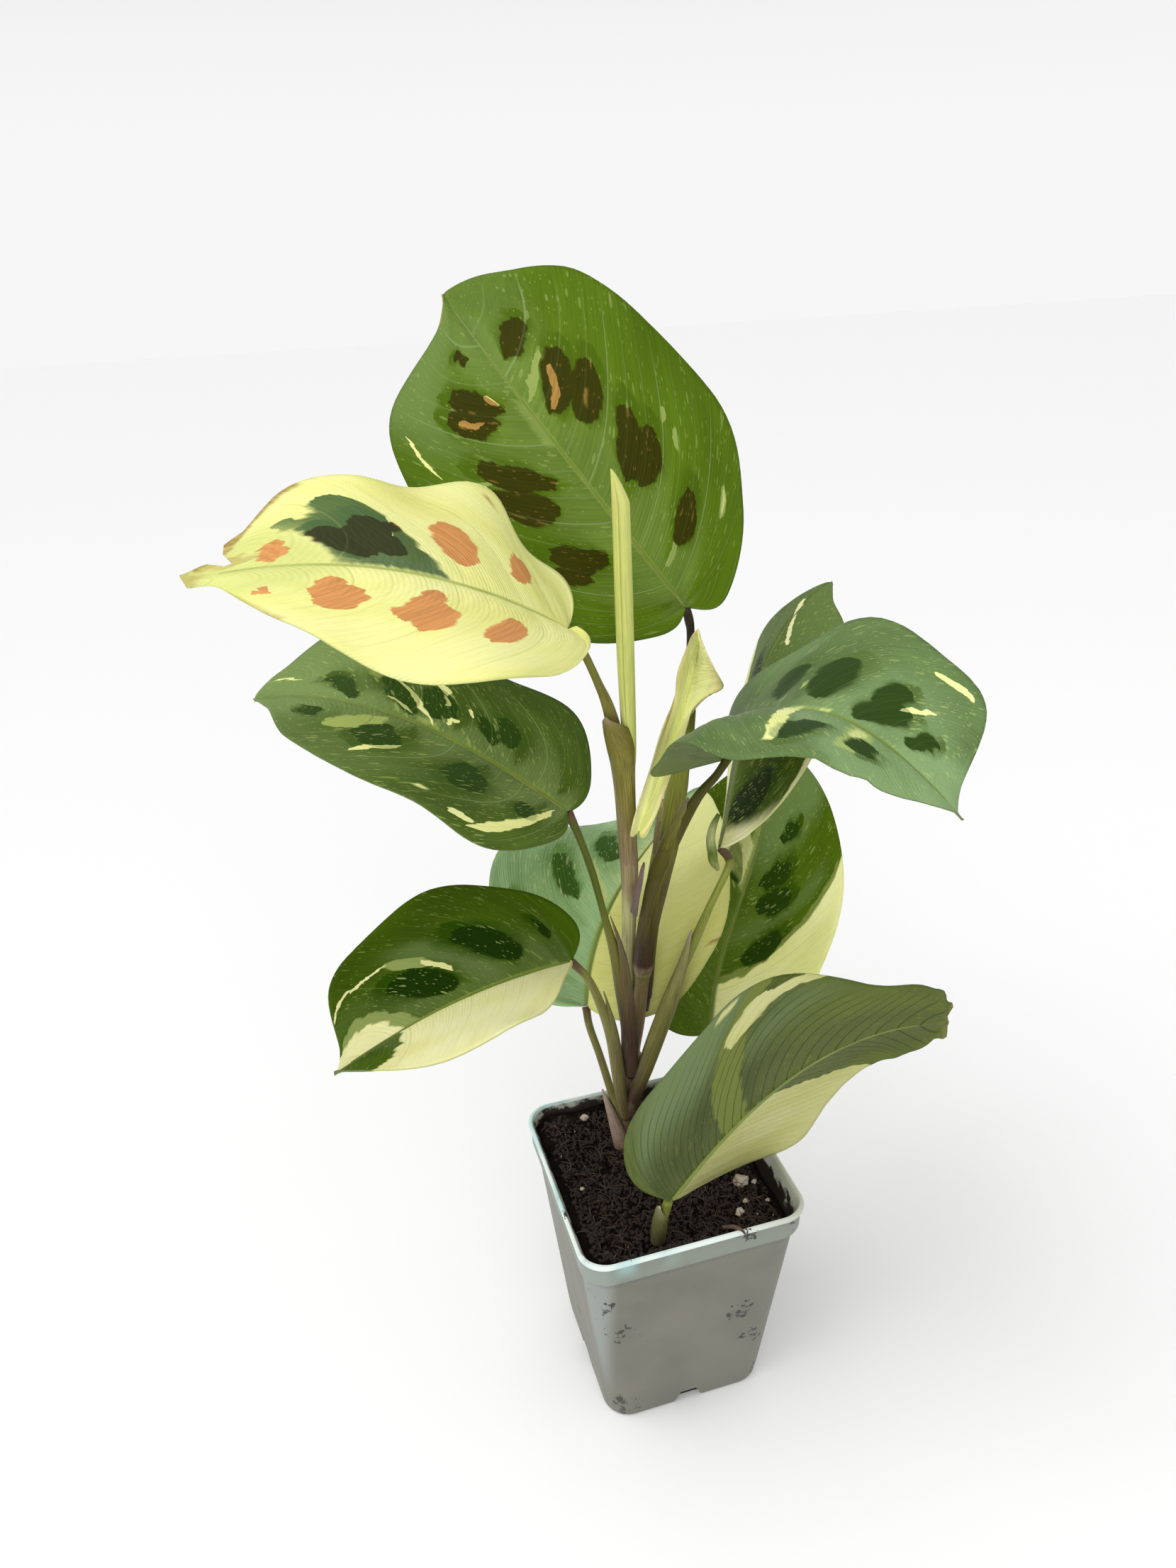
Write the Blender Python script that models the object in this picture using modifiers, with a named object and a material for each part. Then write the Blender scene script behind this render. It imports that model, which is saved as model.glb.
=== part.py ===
"""Potted prayer plant in a small square nursery pot.

The pot is one moulded shell filled with peat. A jointed cane and one low leaf stand in plain
holes in the peat. Every other leaf is a stalk that starts beside the cane and a thin arched blade
at the stalk's end. Sizes and places are written in millimetres, with the origin in the middle of
the pot's underside, the pot's front towards -Y and +Z up.
"""
import math
from collections import namedtuple

import bmesh
import bpy
import numpy as np

MM = 0.001
GAP = 0.3

# Pot: half widths are measured from the axis to the middle of a flat side.
POT_HEIGHT = 80.0
POT_BASE_HALF = 26.0
POT_SHOULDER_HALF = 33.0
POT_SHOULDER_Z = 70.5
POT_COLLAR_HALF = 34.2
POT_RIM_HALF = 35.0
POT_RIM_BEAD = 2.0
POT_CORNER_RADIUS = 8.0
POT_WALL = 1.2
POT_FLOOR = 1.5
CORNER_STEPS = 5
NOTCH_WIDTH = 7.0
NOTCH_HEIGHT = 2.6
NOTCH_DEPTH = 7.0

# Soil
SOIL_TOP = 69.5
SOIL_SWELL = 2.0
SOIL_BUMP = 0.8
SOIL_RINGS = 6
HOLE_CLEARANCE = 0.4
HOLE_BOTTOM = 61.0

# Stems: each point is x, y, z and the radius there.
TUBE_STEPS = 3
STALK_COLOUR = (0.22, 0.30, 0.07)
CANE_PATH = [
    (-4.5, 15.0, 61.6, 3.8), (-4.3, 15.0, 72.0, 3.8), (-4.1, 15.0, 84.0, 3.5),
    (-3.7, 15.0, 97.0, 2.7), (-3.8, 15.0, 107.0, 2.5), (-3.7, 15.0, 109.5, 3.0),
    (-3.4, 15.1, 112.0, 2.3), (-1.6, 15.5, 121.0, 2.1), (-0.3, 16.1, 131.0, 2.1),
    (0.4, 16.4, 136.5, 2.2), (0.6, 16.5, 139.3, 2.7),
]
FRONT_FOOT = (-8.3, -22.0, 61.6, 1.8)
STALK_PATHS = {
    "top": [
        (3.3, 20.4, 134.0, 1.8), (3.7, 21.3, 142.0, 2.1), (5.9, 22.6, 160.0, 2.3),
        (8.4, 23.4, 171.0, 2.5), (10.9, 24.5, 180.0, 2.7), (13.6, 26.0, 189.5, 2.8),
        (15.8, 27.0, 196.5, 2.6), (18.2, 28.5, 208.6, 2.4), (19.4, 29.4, 219.5, 2.1),
        (19.8, 29.8, 230.6, 1.2), (19.7, 29.2, 239.2, 1.1), (19.0, 28.8, 243.3, 1.3),
        (18.3, 28.8, 245.6, 1.2),
    ],
    "cream": [
        (-2.8, 20.7, 119.0, 2.0), (-2.7, 20.4, 141.0, 2.1), (-2.6, 19.3, 155.5, 2.1),
        (-2.6, 18.4, 168.7, 2.4), (-3.2, 17.8, 185.0, 2.3), (-4.2, 17.4, 200.0, 2.4),
        (-6.4, 16.4, 216.0, 2.2), (-9.0, 14.5, 227.0, 1.6), (-12.8, 10.8, 236.0, 1.1),
        (-18.0, 5.5, 247.0, 1.0), (-22.2, 1.6, 253.6, 1.2),
    ],
    "middle_left": [
        (-6.3, 11.3, 113.0, 1.9), (-6.5, 10.9, 125.0, 2.0), (-8.6, 10.0, 140.0, 1.8),
        (-10.5, 9.0, 153.0, 1.5), (-13.5, 8.5, 167.0, 1.0), (-16.5, 8.0, 181.0, 1.0),
        (-20.0, 8.0, 193.5, 1.0), (-22.4, 8.0, 200.9, 1.3),
    ],
    "low_left": [
        (-8.0, 12.1, 93.0, 1.5), (-9.9, 10.9, 106.0, 1.6), (-12.2, 9.2, 123.6, 1.6),
        (-16.0, 7.0, 138.4, 1.3), (-20.0, 5.0, 149.5, 1.1), (-24.0, 4.1, 156.2, 1.2),
    ],
    "rear": [
        (-6.3, 20.3, 84.0, 1.3), (-7.7, 24.0, 88.0, 1.3), (-9.7, 30.0, 99.3, 1.2),
        (-11.2, 35.6, 107.2, 1.2), (-11.4, 38.4, 111.8, 1.3),
    ],
    "rear_right": [
        (-1.1, 18.4, 76.8, 1.4), (8.0, 24.0, 79.6, 1.3), (18.0, 29.0, 82.0, 1.2),
        (27.0, 33.4, 85.4, 1.2), (31.4, 36.3, 91.0, 1.3),
    ],
    "steep": [
        (-5.2, 9.8, 96.0, 1.7), (-1.1, 10.0, 110.4, 1.8), (3.3, 10.6, 122.8, 1.8),
        (9.6, 12.0, 137.0, 1.6), (15.9, 13.5, 148.6, 1.4), (21.4, 15.0, 159.0, 1.1),
        (27.4, 17.2, 168.6, 1.1), (28.4, 18.4, 171.6, 1.3), (26.8, 19.6, 174.3, 1.2),
    ],
    "near_right": [
        (0.6, 16.5, 140.1, 2.5), (0.5, 16.1, 143.5, 2.4), (0.8, 13.6, 154.0, 2.5),
        (2.4, 12.0, 168.5, 2.7), (4.8, 11.0, 179.6, 2.8), (8.2, 10.5, 187.3, 2.3),
        (14.3, 9.2, 199.0, 1.3), (19.4, 8.4, 205.2, 1.0), (22.4, 8.4, 208.7, 1.2),
    ],
    "front": [
        FRONT_FOOT, (-8.2, -22.2, 70.0, 1.8), (-7.9, -23.4, 80.0, 1.7),
        (-7.6, -26.2, 89.4, 1.3),
    ],
    "young": [
        (6.6, 21.8, 176.0, 0.9), (7.3, 21.9, 182.0, 1.1), (7.2, 19.6, 188.5, 1.1),
        (6.2, 16.2, 193.4, 1.0), (5.1, 13.4, 197.3, 0.9),
    ],
}
ROLLED_PATH = [
    (-3.2, 12.6, 214.0, 2.1), (-4.6, 11.6, 246.8, 2.3), (-5.6, 10.8, 269.0, 2.3),
    (-6.2, 10.2, 283.0, 2.0), (-6.3, 10.0, 290.4, 0.4),
]
BRACT_PATH = [
    (-9.3, 13.4, 78.0, 1.0), (-10.2, 14.8, 82.5, 1.5), (-11.4, 16.6, 88.5, 1.2),
    (-12.5, 18.0, 93.6, 0.3),
]

# Blades. Half widths are taken at six stations of the length. A fold is the angle at which a
# half rises from the leaf's plane, at the base and at the tip, and a curl is how far it bends
# on the way to its margin. A lobe is how far the half reaches back behind the stalk, as a share
# of the length. Angles are in degrees.
STATIONS = np.array([0.06, 0.2, 0.4, 0.6, 0.8, 0.93])
Half = namedtuple("Half", "widths lobe fold curl")
Leaf = namedtuple("Leaf", "base tip rise sweep roll left right colour")
GREEN = (0.06, 0.16, 0.045)
BLUE_GREEN = (0.08, 0.17, 0.09)
CREAM = (0.72, 0.72, 0.36)
LEAVES = {
    "top": Leaf((18, 29, 247), (-31, 89, 324), (18, -17), (9, -9), (33, 53),
                Half((14, 33, 39, 39, 30, 6), 0.06, (10, 5), -4),
                Half((12, 31, 41, 38, 32, 14), 0.13, (1, 15), 2), GREEN),
    "cream": Leaf((-23, 1, 255), (-107, -13, 281), (27, -36), (12, -11), (27, 36),
                  Half((16, 26, 31, 27, 16, 4), -0.04, (26, -5), -20),
                  Half((17, 24, 30, 22, 20, 4), 0.20, (5, 4), 14), CREAM),
    "middle_left": Leaf((-23, 8, 202), (-98, 58, 226), (18, -27), (-2, 5), (4, 19),
                        Half((15, 29, 29, 26, 20, 6), 0.08, (8, 12), -15),
                        Half((16, 29, 27, 26, 22, 9), 0.07, (6, 23), 6), GREEN),
    "low_left": Leaf((-25, 4, 157), (-93, -24, 159), (-5, -2), (-24, 11), (-2, -1),
                     Half((14, 26, 31, 28, 19, 8), 0.0, (20, 4), 7),
                     Half((12, 26, 33, 30, 21, 4), 0.13, (20, 5), 35), GREEN),
    "rear": Leaf((-11, 39, 113), (40, 71, 168), (49, -29), (-2, 4), (-4, 19),
                 Half((19, 33, 42, 34, 22, 10), 0.05, (26, -19), 30),
                 Half((19, 33, 37, 34, 22, 10), 0.03, (9, -3), -44), BLUE_GREEN),
    "rear_right": Leaf((32, 37, 92), (69, 83, 173), (-10, -25), (8, 11), (-41, -24),
                       Half((21, 30, 34, 31, 22, 10), 0.05, (15, 4), 4),
                       Half((21, 31, 34, 32, 23, 13), 0.09, (14, 10), 6), GREEN),
    "front": Leaf((-7, -27, 91), (81, -23, 129), (16, -24), (-14, 24), (65, 74),
                  Half((18, 32, 37, 29, 14, 13), 0.03, (12, -2), -24),
                  Half((19, 31, 33, 36, 19, 13), 0.06, (20, 2), 22), BLUE_GREEN),
    "steep": Leaf((26, 20, 175), (76, 55, 240), (0, -34), (12, -6), (20, 12),
                  Half((9, 15, 20, 23, 20, 8), 0.03, (-40, -22), -12),
                  Half((16, 26, 30, 28, 22, 7), -0.01, (12, 5), -12), GREEN),
    "near_right": Leaf((23.5, 9, 210.5), (52, -57.5, 219.5), (50, -36), (-2, -3), (3, 4),
                       Half((20, 25, 30, 32, 24, 5), 0.13, (36, 9), 17),
                       Half((18, 28, 36, 30, 17, 6), 0.16, (27, 10), -48), BLUE_GREEN),
    "young": Leaf((-1, 14, 189), (16, 15, 245), (9, 62), (-2, 0), (-52, -46),
                  Half((5, 6, 6, 5, 5, 3), 0.06, (66, 31), 28),
                  Half((3, 4, 4, 4, 12, 9), 0.06, (33, 35), -5), CREAM),
}
BLADE_THICKNESS = 0.7
BLADE_ROWS = 14
BLADE_COLUMNS = 5
ROW_LEAN = 0.62
LOBE_PEAK = 4.2


def clear_scene():
    """Remove every object that the open file holds."""
    for thing in list(bpy.data.objects):
        bpy.data.objects.remove(thing, do_unlink=True)


def make_collection(name):
    """A new collection under the scene's own."""
    group = bpy.data.collections.new(name)
    bpy.context.scene.collection.children.link(group)
    return group


def make_material(name, colour, roughness):
    """A plain Principled material."""
    material = bpy.data.materials.new(name)
    material.use_nodes = True
    shader = material.node_tree.nodes["Principled BSDF"]
    shader.inputs["Base Color"].default_value = (*colour, 1.0)
    shader.inputs["Roughness"].default_value = roughness
    shader.inputs["Metallic"].default_value = 0.0
    return material


def make_object(name, mesh, material, group, smooth_angle=40.0):
    """Put a mesh in the scene under its own name, shaded smooth but for its sharp edges."""
    mesh.shade_smooth()
    mesh.set_sharp_from_angle(angle=math.radians(smooth_angle))
    mesh.materials.append(material)
    thing = bpy.data.objects.new(name, mesh)
    group.objects.link(thing)
    return thing


def mesh_from(name, points, faces):
    """A mesh from points in millimetres, with its faces pointing out."""
    mesh = bpy.data.meshes.new(name)
    mesh.from_pydata([tuple(MM * value for value in point) for point in points], [], faces)
    return mesh


def rounded_square(half, radius, z):
    """Points round a square with rounded corners, counter-clockwise seen from above."""
    points = []
    for corner in range(4):
        turn = math.pi / 2 * corner
        centre = half - radius
        for step in range(CORNER_STEPS + 1):
            angle = math.pi / 2 * step / CORNER_STEPS
            x = centre + radius * math.cos(angle)
            y = centre + radius * math.sin(angle)
            points.append((x * math.cos(turn) - y * math.sin(turn),
                           x * math.sin(turn) + y * math.cos(turn), z))
    return points


def loft(name, rings):
    """Join rings of equal length into one closed skin, with a flat cap at each end."""
    count = len(rings[0])
    points = [point for ring in rings for point in ring]
    faces = [tuple(reversed(range(count)))]
    for level in range(len(rings) - 1):
        for index in range(count):
            after = (index + 1) % count
            low = level * count
            faces.append((low + index, low + after, low + count + after, low + count + index))
    last = (len(rings) - 1) * count
    faces.append(tuple(range(last, last + count)))
    return mesh_from(name, points, faces)


def wall_half(z):
    """Outer half width of the pot's tapered wall at a height."""
    return POT_BASE_HALF + (POT_SHOULDER_HALF - POT_BASE_HALF) * z / POT_SHOULDER_Z


def build_pot(parts, cutters):
    """Tapered square shell with a stacking collar, a rolled rim and four drain notches."""
    edge = POT_HEIGHT - POT_RIM_BEAD
    inner_collar = POT_COLLAR_HALF - POT_WALL
    outer = [
        (POT_BASE_HALF - 0.8, 0.0), (POT_BASE_HALF, 0.9), (POT_SHOULDER_HALF, POT_SHOULDER_Z),
        (POT_COLLAR_HALF, POT_SHOULDER_Z + 1.0), (POT_COLLAR_HALF + 0.2, edge - 0.4),
        (POT_RIM_HALF, edge + 0.2), (POT_RIM_HALF, POT_HEIGHT - 0.5),
        (POT_RIM_HALF - 0.5, POT_HEIGHT),
    ]
    inner = [
        (POT_RIM_HALF - 1.6, POT_HEIGHT), (inner_collar + 0.1, POT_HEIGHT - 0.5),
        (inner_collar, POT_SHOULDER_Z + 2.0), (POT_SHOULDER_HALF - POT_WALL, POT_SHOULDER_Z),
        (wall_half(POT_FLOOR) - POT_WALL, POT_FLOOR),
    ]
    rings = []
    for half, z in outer:
        rings.append(rounded_square(half, POT_CORNER_RADIUS, z))
    for half, z in inner:
        rings.append(rounded_square(half, POT_CORNER_RADIUS - POT_WALL, z))
    material = make_material("pale grey plastic", (0.62, 0.66, 0.66), 0.45)
    pot = make_object("pot", loft("pot", rings), material, parts, 30.0)
    reach = POT_BASE_HALF - NOTCH_DEPTH / 2 + 1.0
    for index, (x, y) in enumerate([(0, -reach), (reach, 0), (0, reach), (-reach, 0)]):
        bpy.ops.mesh.primitive_cube_add(size=1.0, location=(x * MM, y * MM, 0.0))
        cutter = bpy.context.object
        cutter.name = f"notch_cutter_{index}"
        along = NOTCH_DEPTH + 2.0
        sides = (NOTCH_WIDTH, along) if x == 0 else (along, NOTCH_WIDTH)
        cutter.scale = (sides[0] * MM, sides[1] * MM, 2 * NOTCH_HEIGHT * MM)
        cut_with(pot, cutter, cutters)


def cut_with(target, cutter, cutters):
    """Subtract a cutter from a part and keep the cutter out of the render."""
    for group in list(cutter.users_collection):
        group.objects.unlink(cutter)
    cutters.objects.link(cutter)
    cutter.hide_render = True
    cutter.display_type = "WIRE"
    modifier = target.modifiers.new(cutter.name, "BOOLEAN")
    modifier.operation = "DIFFERENCE"
    modifier.solver = "EXACT"
    modifier.object = cutter


def soil_height(x, y):
    """Uneven top of the soil, a little higher round the cane."""
    cane_x, cane_y = CANE_PATH[1][:2]
    away = math.hypot(x - cane_x, y - cane_y)
    swell = SOIL_SWELL * math.exp(-(away / 14.0) ** 2)
    bump = math.sin(0.45 * x + 1.0) * math.cos(0.38 * y) + 0.5 * math.sin(0.9 * x - 0.7 * y)
    return SOIL_TOP + swell + SOIL_BUMP * bump


def build_soil(parts, cutters):
    """Peat block that fills the pot, with a plain hole for each stem that stands in it."""
    bottom = POT_FLOOR + GAP
    inside = POT_WALL + GAP
    radius = POT_CORNER_RADIUS - inside
    low_half = wall_half(bottom) - inside
    rings = [rounded_square(low_half, radius, bottom)]
    top_half = wall_half(SOIL_TOP - 2.0) - inside
    rings.append(rounded_square(top_half, radius, SOIL_TOP - 2.0))
    for level in range(SOIL_RINGS):
        share = 1.0 - level / SOIL_RINGS
        ring = rounded_square((top_half - 0.2) * share, radius * share, 0.0)
        rings.append([(x, y, soil_height(x, y)) for x, y, _ in ring])
    material = make_material("dark peat", (0.018, 0.012, 0.009), 0.95)
    soil = make_object("soil", loft("soil", rings), material, parts)
    for index, (x, y, _, radius) in enumerate([CANE_PATH[0], FRONT_FOOT]):
        height = SOIL_TOP + 8.0 - HOLE_BOTTOM
        centre = (x * MM, y * MM, (HOLE_BOTTOM + height / 2) * MM)
        bpy.ops.mesh.primitive_cylinder_add(
            vertices=16, radius=(radius + HOLE_CLEARANCE) * MM, depth=height * MM, location=centre)
        cutter = bpy.context.object
        cutter.name = f"hole_cutter_{index}"
        cut_with(soil, cutter, cutters)


def smooth_path(path):
    """Points of a smooth curve through a path, with the radius carried along."""
    known = np.array(path, dtype=float)
    before = 2 * known[0] - known[1]
    after = 2 * known[-1] - known[-2]
    known = np.vstack([before, known, after])
    result = []
    for index in range(1, len(known) - 2):
        p0, p1, p2, p3 = known[index - 1:index + 3]
        for step in range(TUBE_STEPS):
            t = step / TUBE_STEPS
            point = 0.5 * (2 * p1 + (p2 - p0) * t + (2 * p0 - 5 * p1 + 4 * p2 - p3) * t ** 2
                           + (3 * p1 - p0 - 3 * p2 + p3) * t ** 3)
            result.append(point)
    result.append(known[-2])
    return result


def build_tube(name, path, material, parts):
    """A stem or stalk: a curve with a round bevel that follows its radius."""
    curve = bpy.data.curves.new(name, "CURVE")
    curve.dimensions = "3D"
    curve.bevel_depth = MM
    curve.bevel_resolution = 2
    curve.use_fill_caps = True
    points = smooth_path(path)
    spline = curve.splines.new("POLY")
    spline.points.add(len(points) - 1)
    for target, point in zip(spline.points, points):
        target.co = (*(MM * point[:3]), 1.0)
        target.radius = point[3]
    spline.use_smooth = True
    curve.materials.append(material)
    tube = bpy.data.objects.new(name, curve)
    parts.objects.link(tube)
    return tube


def half_width(station, widths):
    """Half width of a blade, smooth through its six stations, round at the base end and
    pointed at the tip. Both take stations from 0 at the base to 1 at the tip."""
    knots = np.concatenate([[0.0], np.arccos(1 - 2 * STATIONS), [math.pi]])
    values = np.concatenate([[0.0], widths, [0.0]])
    slopes = np.zeros(len(knots))
    slopes[1:-1] = (values[2:] - values[:-2]) / (knots[2:] - knots[:-2])
    slopes[0] = values[1] / knots[1]
    angle = np.arccos(np.clip(1 - 2 * station, -1, 1))
    index = np.clip(np.searchsorted(knots, angle) - 1, 0, len(knots) - 2)
    span = knots[index + 1] - knots[index]
    u = (angle - knots[index]) / span
    start = values[index] * (1 + 2 * u) + slopes[index] * span * u
    end = values[index + 1] * (3 - 2 * u) - slopes[index + 1] * span * (1 - u)
    return start * (1 - u) ** 2 + end * u ** 2


def unit(vectors):
    """Vectors scaled to length one."""
    return vectors / np.linalg.norm(vectors, axis=-1, keepdims=True)


def midrib(leaf, along):
    """Places and directions on a leaf's midrib, with the leaf's own up and side directions."""
    base = np.array(leaf.base, dtype=float)
    tip = np.array(leaf.tip, dtype=float)
    chord = unit(tip - base)
    reach = np.linalg.norm(tip - base) / 3
    level = unit(np.array([0.0, 0.0, 1.0]) - chord[2] * chord)
    turn = math.radians(leaf.roll[0])
    up = level * math.cos(turn) + np.cross(level, chord) * math.sin(turn)
    side = np.cross(up, chord)
    lift = np.tan(np.radians(leaf.rise))
    bend = np.tan(np.radians(leaf.sweep))
    first = base + reach * (chord + lift[0] * up + bend[0] * side)
    second = tip - reach * (chord + lift[1] * up + bend[1] * side)
    x = along[..., None]
    rest = 1 - x
    place = rest ** 3 * base + 3 * rest ** 2 * x * first + 3 * rest * x ** 2 * second + x ** 3 * tip
    heading = (rest ** 2 * (first - base) + 2 * rest * x * (second - first)
               + x ** 2 * (tip - second))
    return place, unit(heading), up


def blade_point(leaf, row, out, side):
    """Points of a blade's middle surface. row runs from 0 at the base to 1 at the tip, out from
    0 on the midrib to 1 on the margin, and side is 1 for the left half and -1 for the right."""
    half = leaf.left if side > 0 else leaf.right
    end = row ** ROW_LEAN
    behind = half.lobe * LOBE_PEAK * np.sqrt(end) * (1 - end) ** 3
    along = row + (end - behind - row) * out ** 1.8
    across = half_width(end, half.widths) * out ** 0.9
    place, heading, up = midrib(leaf, along)
    normal = unit(up - np.sum(up * heading, axis=-1, keepdims=True) * heading)
    turn = np.radians((leaf.roll[1] - leaf.roll[0]) * along)[..., None]
    normal = normal * np.cos(turn) + np.cross(normal, heading) * np.sin(turn)
    outward = side * np.cross(normal, heading)
    fold = np.radians(half.fold[0] + (half.fold[1] - half.fold[0]) * along)
    rate = math.radians(half.curl) / max(half.widths)
    bent = fold + rate * across
    spread = (np.sin(bent) - np.sin(fold)) / rate
    height = (np.cos(fold) - np.cos(bent)) / rate
    return place + outward * spread[..., None] + normal * height[..., None]


def build_blade(name, leaf, material, parts):
    """A blade: its middle surface in triangles, thickened by Solidify."""
    ends = (1 - np.cos(math.pi * np.arange(BLADE_ROWS + 1) / BLADE_ROWS)) / 2
    rows = ends ** (1 / ROW_LEAN)
    outs = np.arange(1, BLADE_COLUMNS + 1) / BLADE_COLUMNS
    points = [leaf.base]
    width = 2 * BLADE_COLUMNS + 1
    for row in rows[1:-1]:
        station = np.full(BLADE_COLUMNS, row)
        right = blade_point(leaf, station, outs, -1)
        left = blade_point(leaf, station, outs, 1)
        centre = midrib(leaf, np.array([row]))[0]
        points.extend([*right[::-1], *centre, *left])
    points.append(leaf.tip)
    last = len(points) - 1
    faces = []
    for column in range(width - 1):
        faces.append((0, 1 + column, 2 + column))
        foot = last - width + column
        faces.append((foot + 1, foot, last))
    for row in range(BLADE_ROWS - 2):
        for column in range(width - 1):
            a = 1 + row * width + column
            b = a + width
            if column < BLADE_COLUMNS:
                faces.extend([(a, b, a + 1), (a + 1, b, b + 1)])
            else:
                faces.extend([(a, b, b + 1), (a, b + 1, a + 1)])
    mesh = mesh_from(name, points, faces)
    work = bmesh.new()
    work.from_mesh(mesh)
    bmesh.ops.reverse_faces(work, faces=work.faces)
    work.to_mesh(mesh)
    work.free()
    blade = make_object(name, mesh, material, parts, 60.0)
    modifier = blade.modifiers.new("thickness", "SOLIDIFY")
    modifier.thickness = BLADE_THICKNESS * MM
    modifier.offset = 0.0
    return blade


def main():
    clear_scene()
    parts = make_collection("potted_prayer_plant")
    cutters = make_collection("cutters")
    build_pot(parts, cutters)
    build_soil(parts, cutters)
    cane_material = make_material("brown cane", (0.20, 0.15, 0.09), 0.5)
    build_tube("cane", CANE_PATH, cane_material, parts)
    stalk_material = make_material("green stalk", STALK_COLOUR, 0.45)
    for name, path in STALK_PATHS.items():
        build_tube(f"stalk_{name}", path, stalk_material, parts)
    for name, leaf in LEAVES.items():
        material = make_material(f"blade {name}", leaf.colour, 0.4)
        build_blade(f"blade_{name}", leaf, material, parts)
    pale = make_material("pale rolled leaf", (0.62, 0.66, 0.30), 0.45)
    build_tube("rolled_leaf", ROLLED_PATH, pale, parts)
    dry = make_material("dry bract", (0.36, 0.24, 0.19), 0.6)
    build_tube("bract", BRACT_PATH, dry, parts)


main()
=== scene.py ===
import math
from collections import namedtuple

import bmesh
import bpy
import numpy as np
from mathutils import Matrix, Vector, noise


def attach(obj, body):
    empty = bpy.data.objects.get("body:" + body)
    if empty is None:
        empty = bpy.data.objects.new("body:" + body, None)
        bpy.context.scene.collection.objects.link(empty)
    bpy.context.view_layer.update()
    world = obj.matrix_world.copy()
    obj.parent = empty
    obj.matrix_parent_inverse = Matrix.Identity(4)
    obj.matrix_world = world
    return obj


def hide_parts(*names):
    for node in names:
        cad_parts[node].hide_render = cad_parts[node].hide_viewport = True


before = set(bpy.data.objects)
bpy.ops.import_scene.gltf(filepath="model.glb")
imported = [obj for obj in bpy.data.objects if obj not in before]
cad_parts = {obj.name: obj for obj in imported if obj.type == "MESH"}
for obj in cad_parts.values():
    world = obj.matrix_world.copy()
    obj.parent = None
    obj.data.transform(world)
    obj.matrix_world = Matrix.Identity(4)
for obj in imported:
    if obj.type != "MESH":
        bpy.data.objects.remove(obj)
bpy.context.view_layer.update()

MM = 0.001

# Camera of the photograph, in millimetres and degrees.
CAMERA_PLACE = (-94.4, -257.3, 349.3)
CAMERA_TURN = -16.23
CAMERA_DOWN = 26.88
CAMERA_ROLL = -1.79
CAMERA_LENS = 27.03
CAMERA_FILM = 36.0


def place_camera():
    """Put the camera where the photograph was taken from."""
    turn, down, roll = (math.radians(angle) for angle in (CAMERA_TURN, CAMERA_DOWN, CAMERA_ROLL))
    back = Vector((math.sin(turn) * math.cos(down), -math.cos(turn) * math.cos(down),
                   math.sin(down)))
    right = (-back).cross(Vector((0, 0, 1))).normalized()
    up = right.cross(-back)
    tilted_right = right * math.cos(roll) + up * math.sin(roll)
    tilted_up = up * math.cos(roll) - right * math.sin(roll)
    data = bpy.data.cameras.new("camera")
    data.lens = CAMERA_LENS
    data.sensor_width = CAMERA_FILM
    data.clip_start = 0.01
    camera = bpy.data.objects.new("camera", data)
    turned = Matrix((tilted_right, tilted_up, back)).transposed().to_4x4()
    turned.translation = Vector(CAMERA_PLACE) * MM
    camera.matrix_world = turned
    bpy.context.scene.collection.objects.link(camera)
    bpy.context.scene.camera = camera


# Node trees

GROUPS = {}


def sum_node(operation, turned=False):
    """A method that joins a wire and another value in one maths node."""
    def join(wire, other):
        pair = (other, wire) if turned else (wire, other)
        return wire.tree.value(operation, *pair)
    return join


class Wire:
    """An output of a node that can stand in plain sums."""

    __add__, __radd__ = sum_node("ADD"), sum_node("ADD", True)
    __sub__, __rsub__ = sum_node("SUBTRACT"), sum_node("SUBTRACT", True)
    __mul__, __truediv__, __pow__ = sum_node("MULTIPLY"), sum_node("DIVIDE"), sum_node("POWER")
    above, below = sum_node("GREATER_THAN"), sum_node("LESS_THAN")
    least, most = sum_node("MINIMUM"), sum_node("MAXIMUM")
    pingpong = sum_node("PINGPONG")

    def __init__(self, tree, socket):
        self.tree = tree
        self.socket = socket

    def __abs__(self):
        return self.tree.value("ABSOLUTE", self)

    def scaled(self, by, plus):
        """This value times another, plus a third."""
        return self.tree.value("MULTIPLY_ADD", self, by, plus)

    def ease(self, low, high, start=0.0, end=1.0):
        """A soft step from start to end while this value goes from low to high."""
        return self.tree.node("ShaderNodeMapRange", enumerate((self, low, high, start, end)),
                              interpolation_type="SMOOTHSTEP")[0]

    def split(self):
        """The three parts of a vector or colour."""
        return self.tree.node("ShaderNodeSeparateXYZ", {0: self})


class Outputs:
    """The outputs of a node as wires, by name or number."""

    def __init__(self, tree, made):
        self.tree = tree
        self.made = made

    def __getitem__(self, key):
        return Wire(self.tree, self.made.outputs[key])


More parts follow.
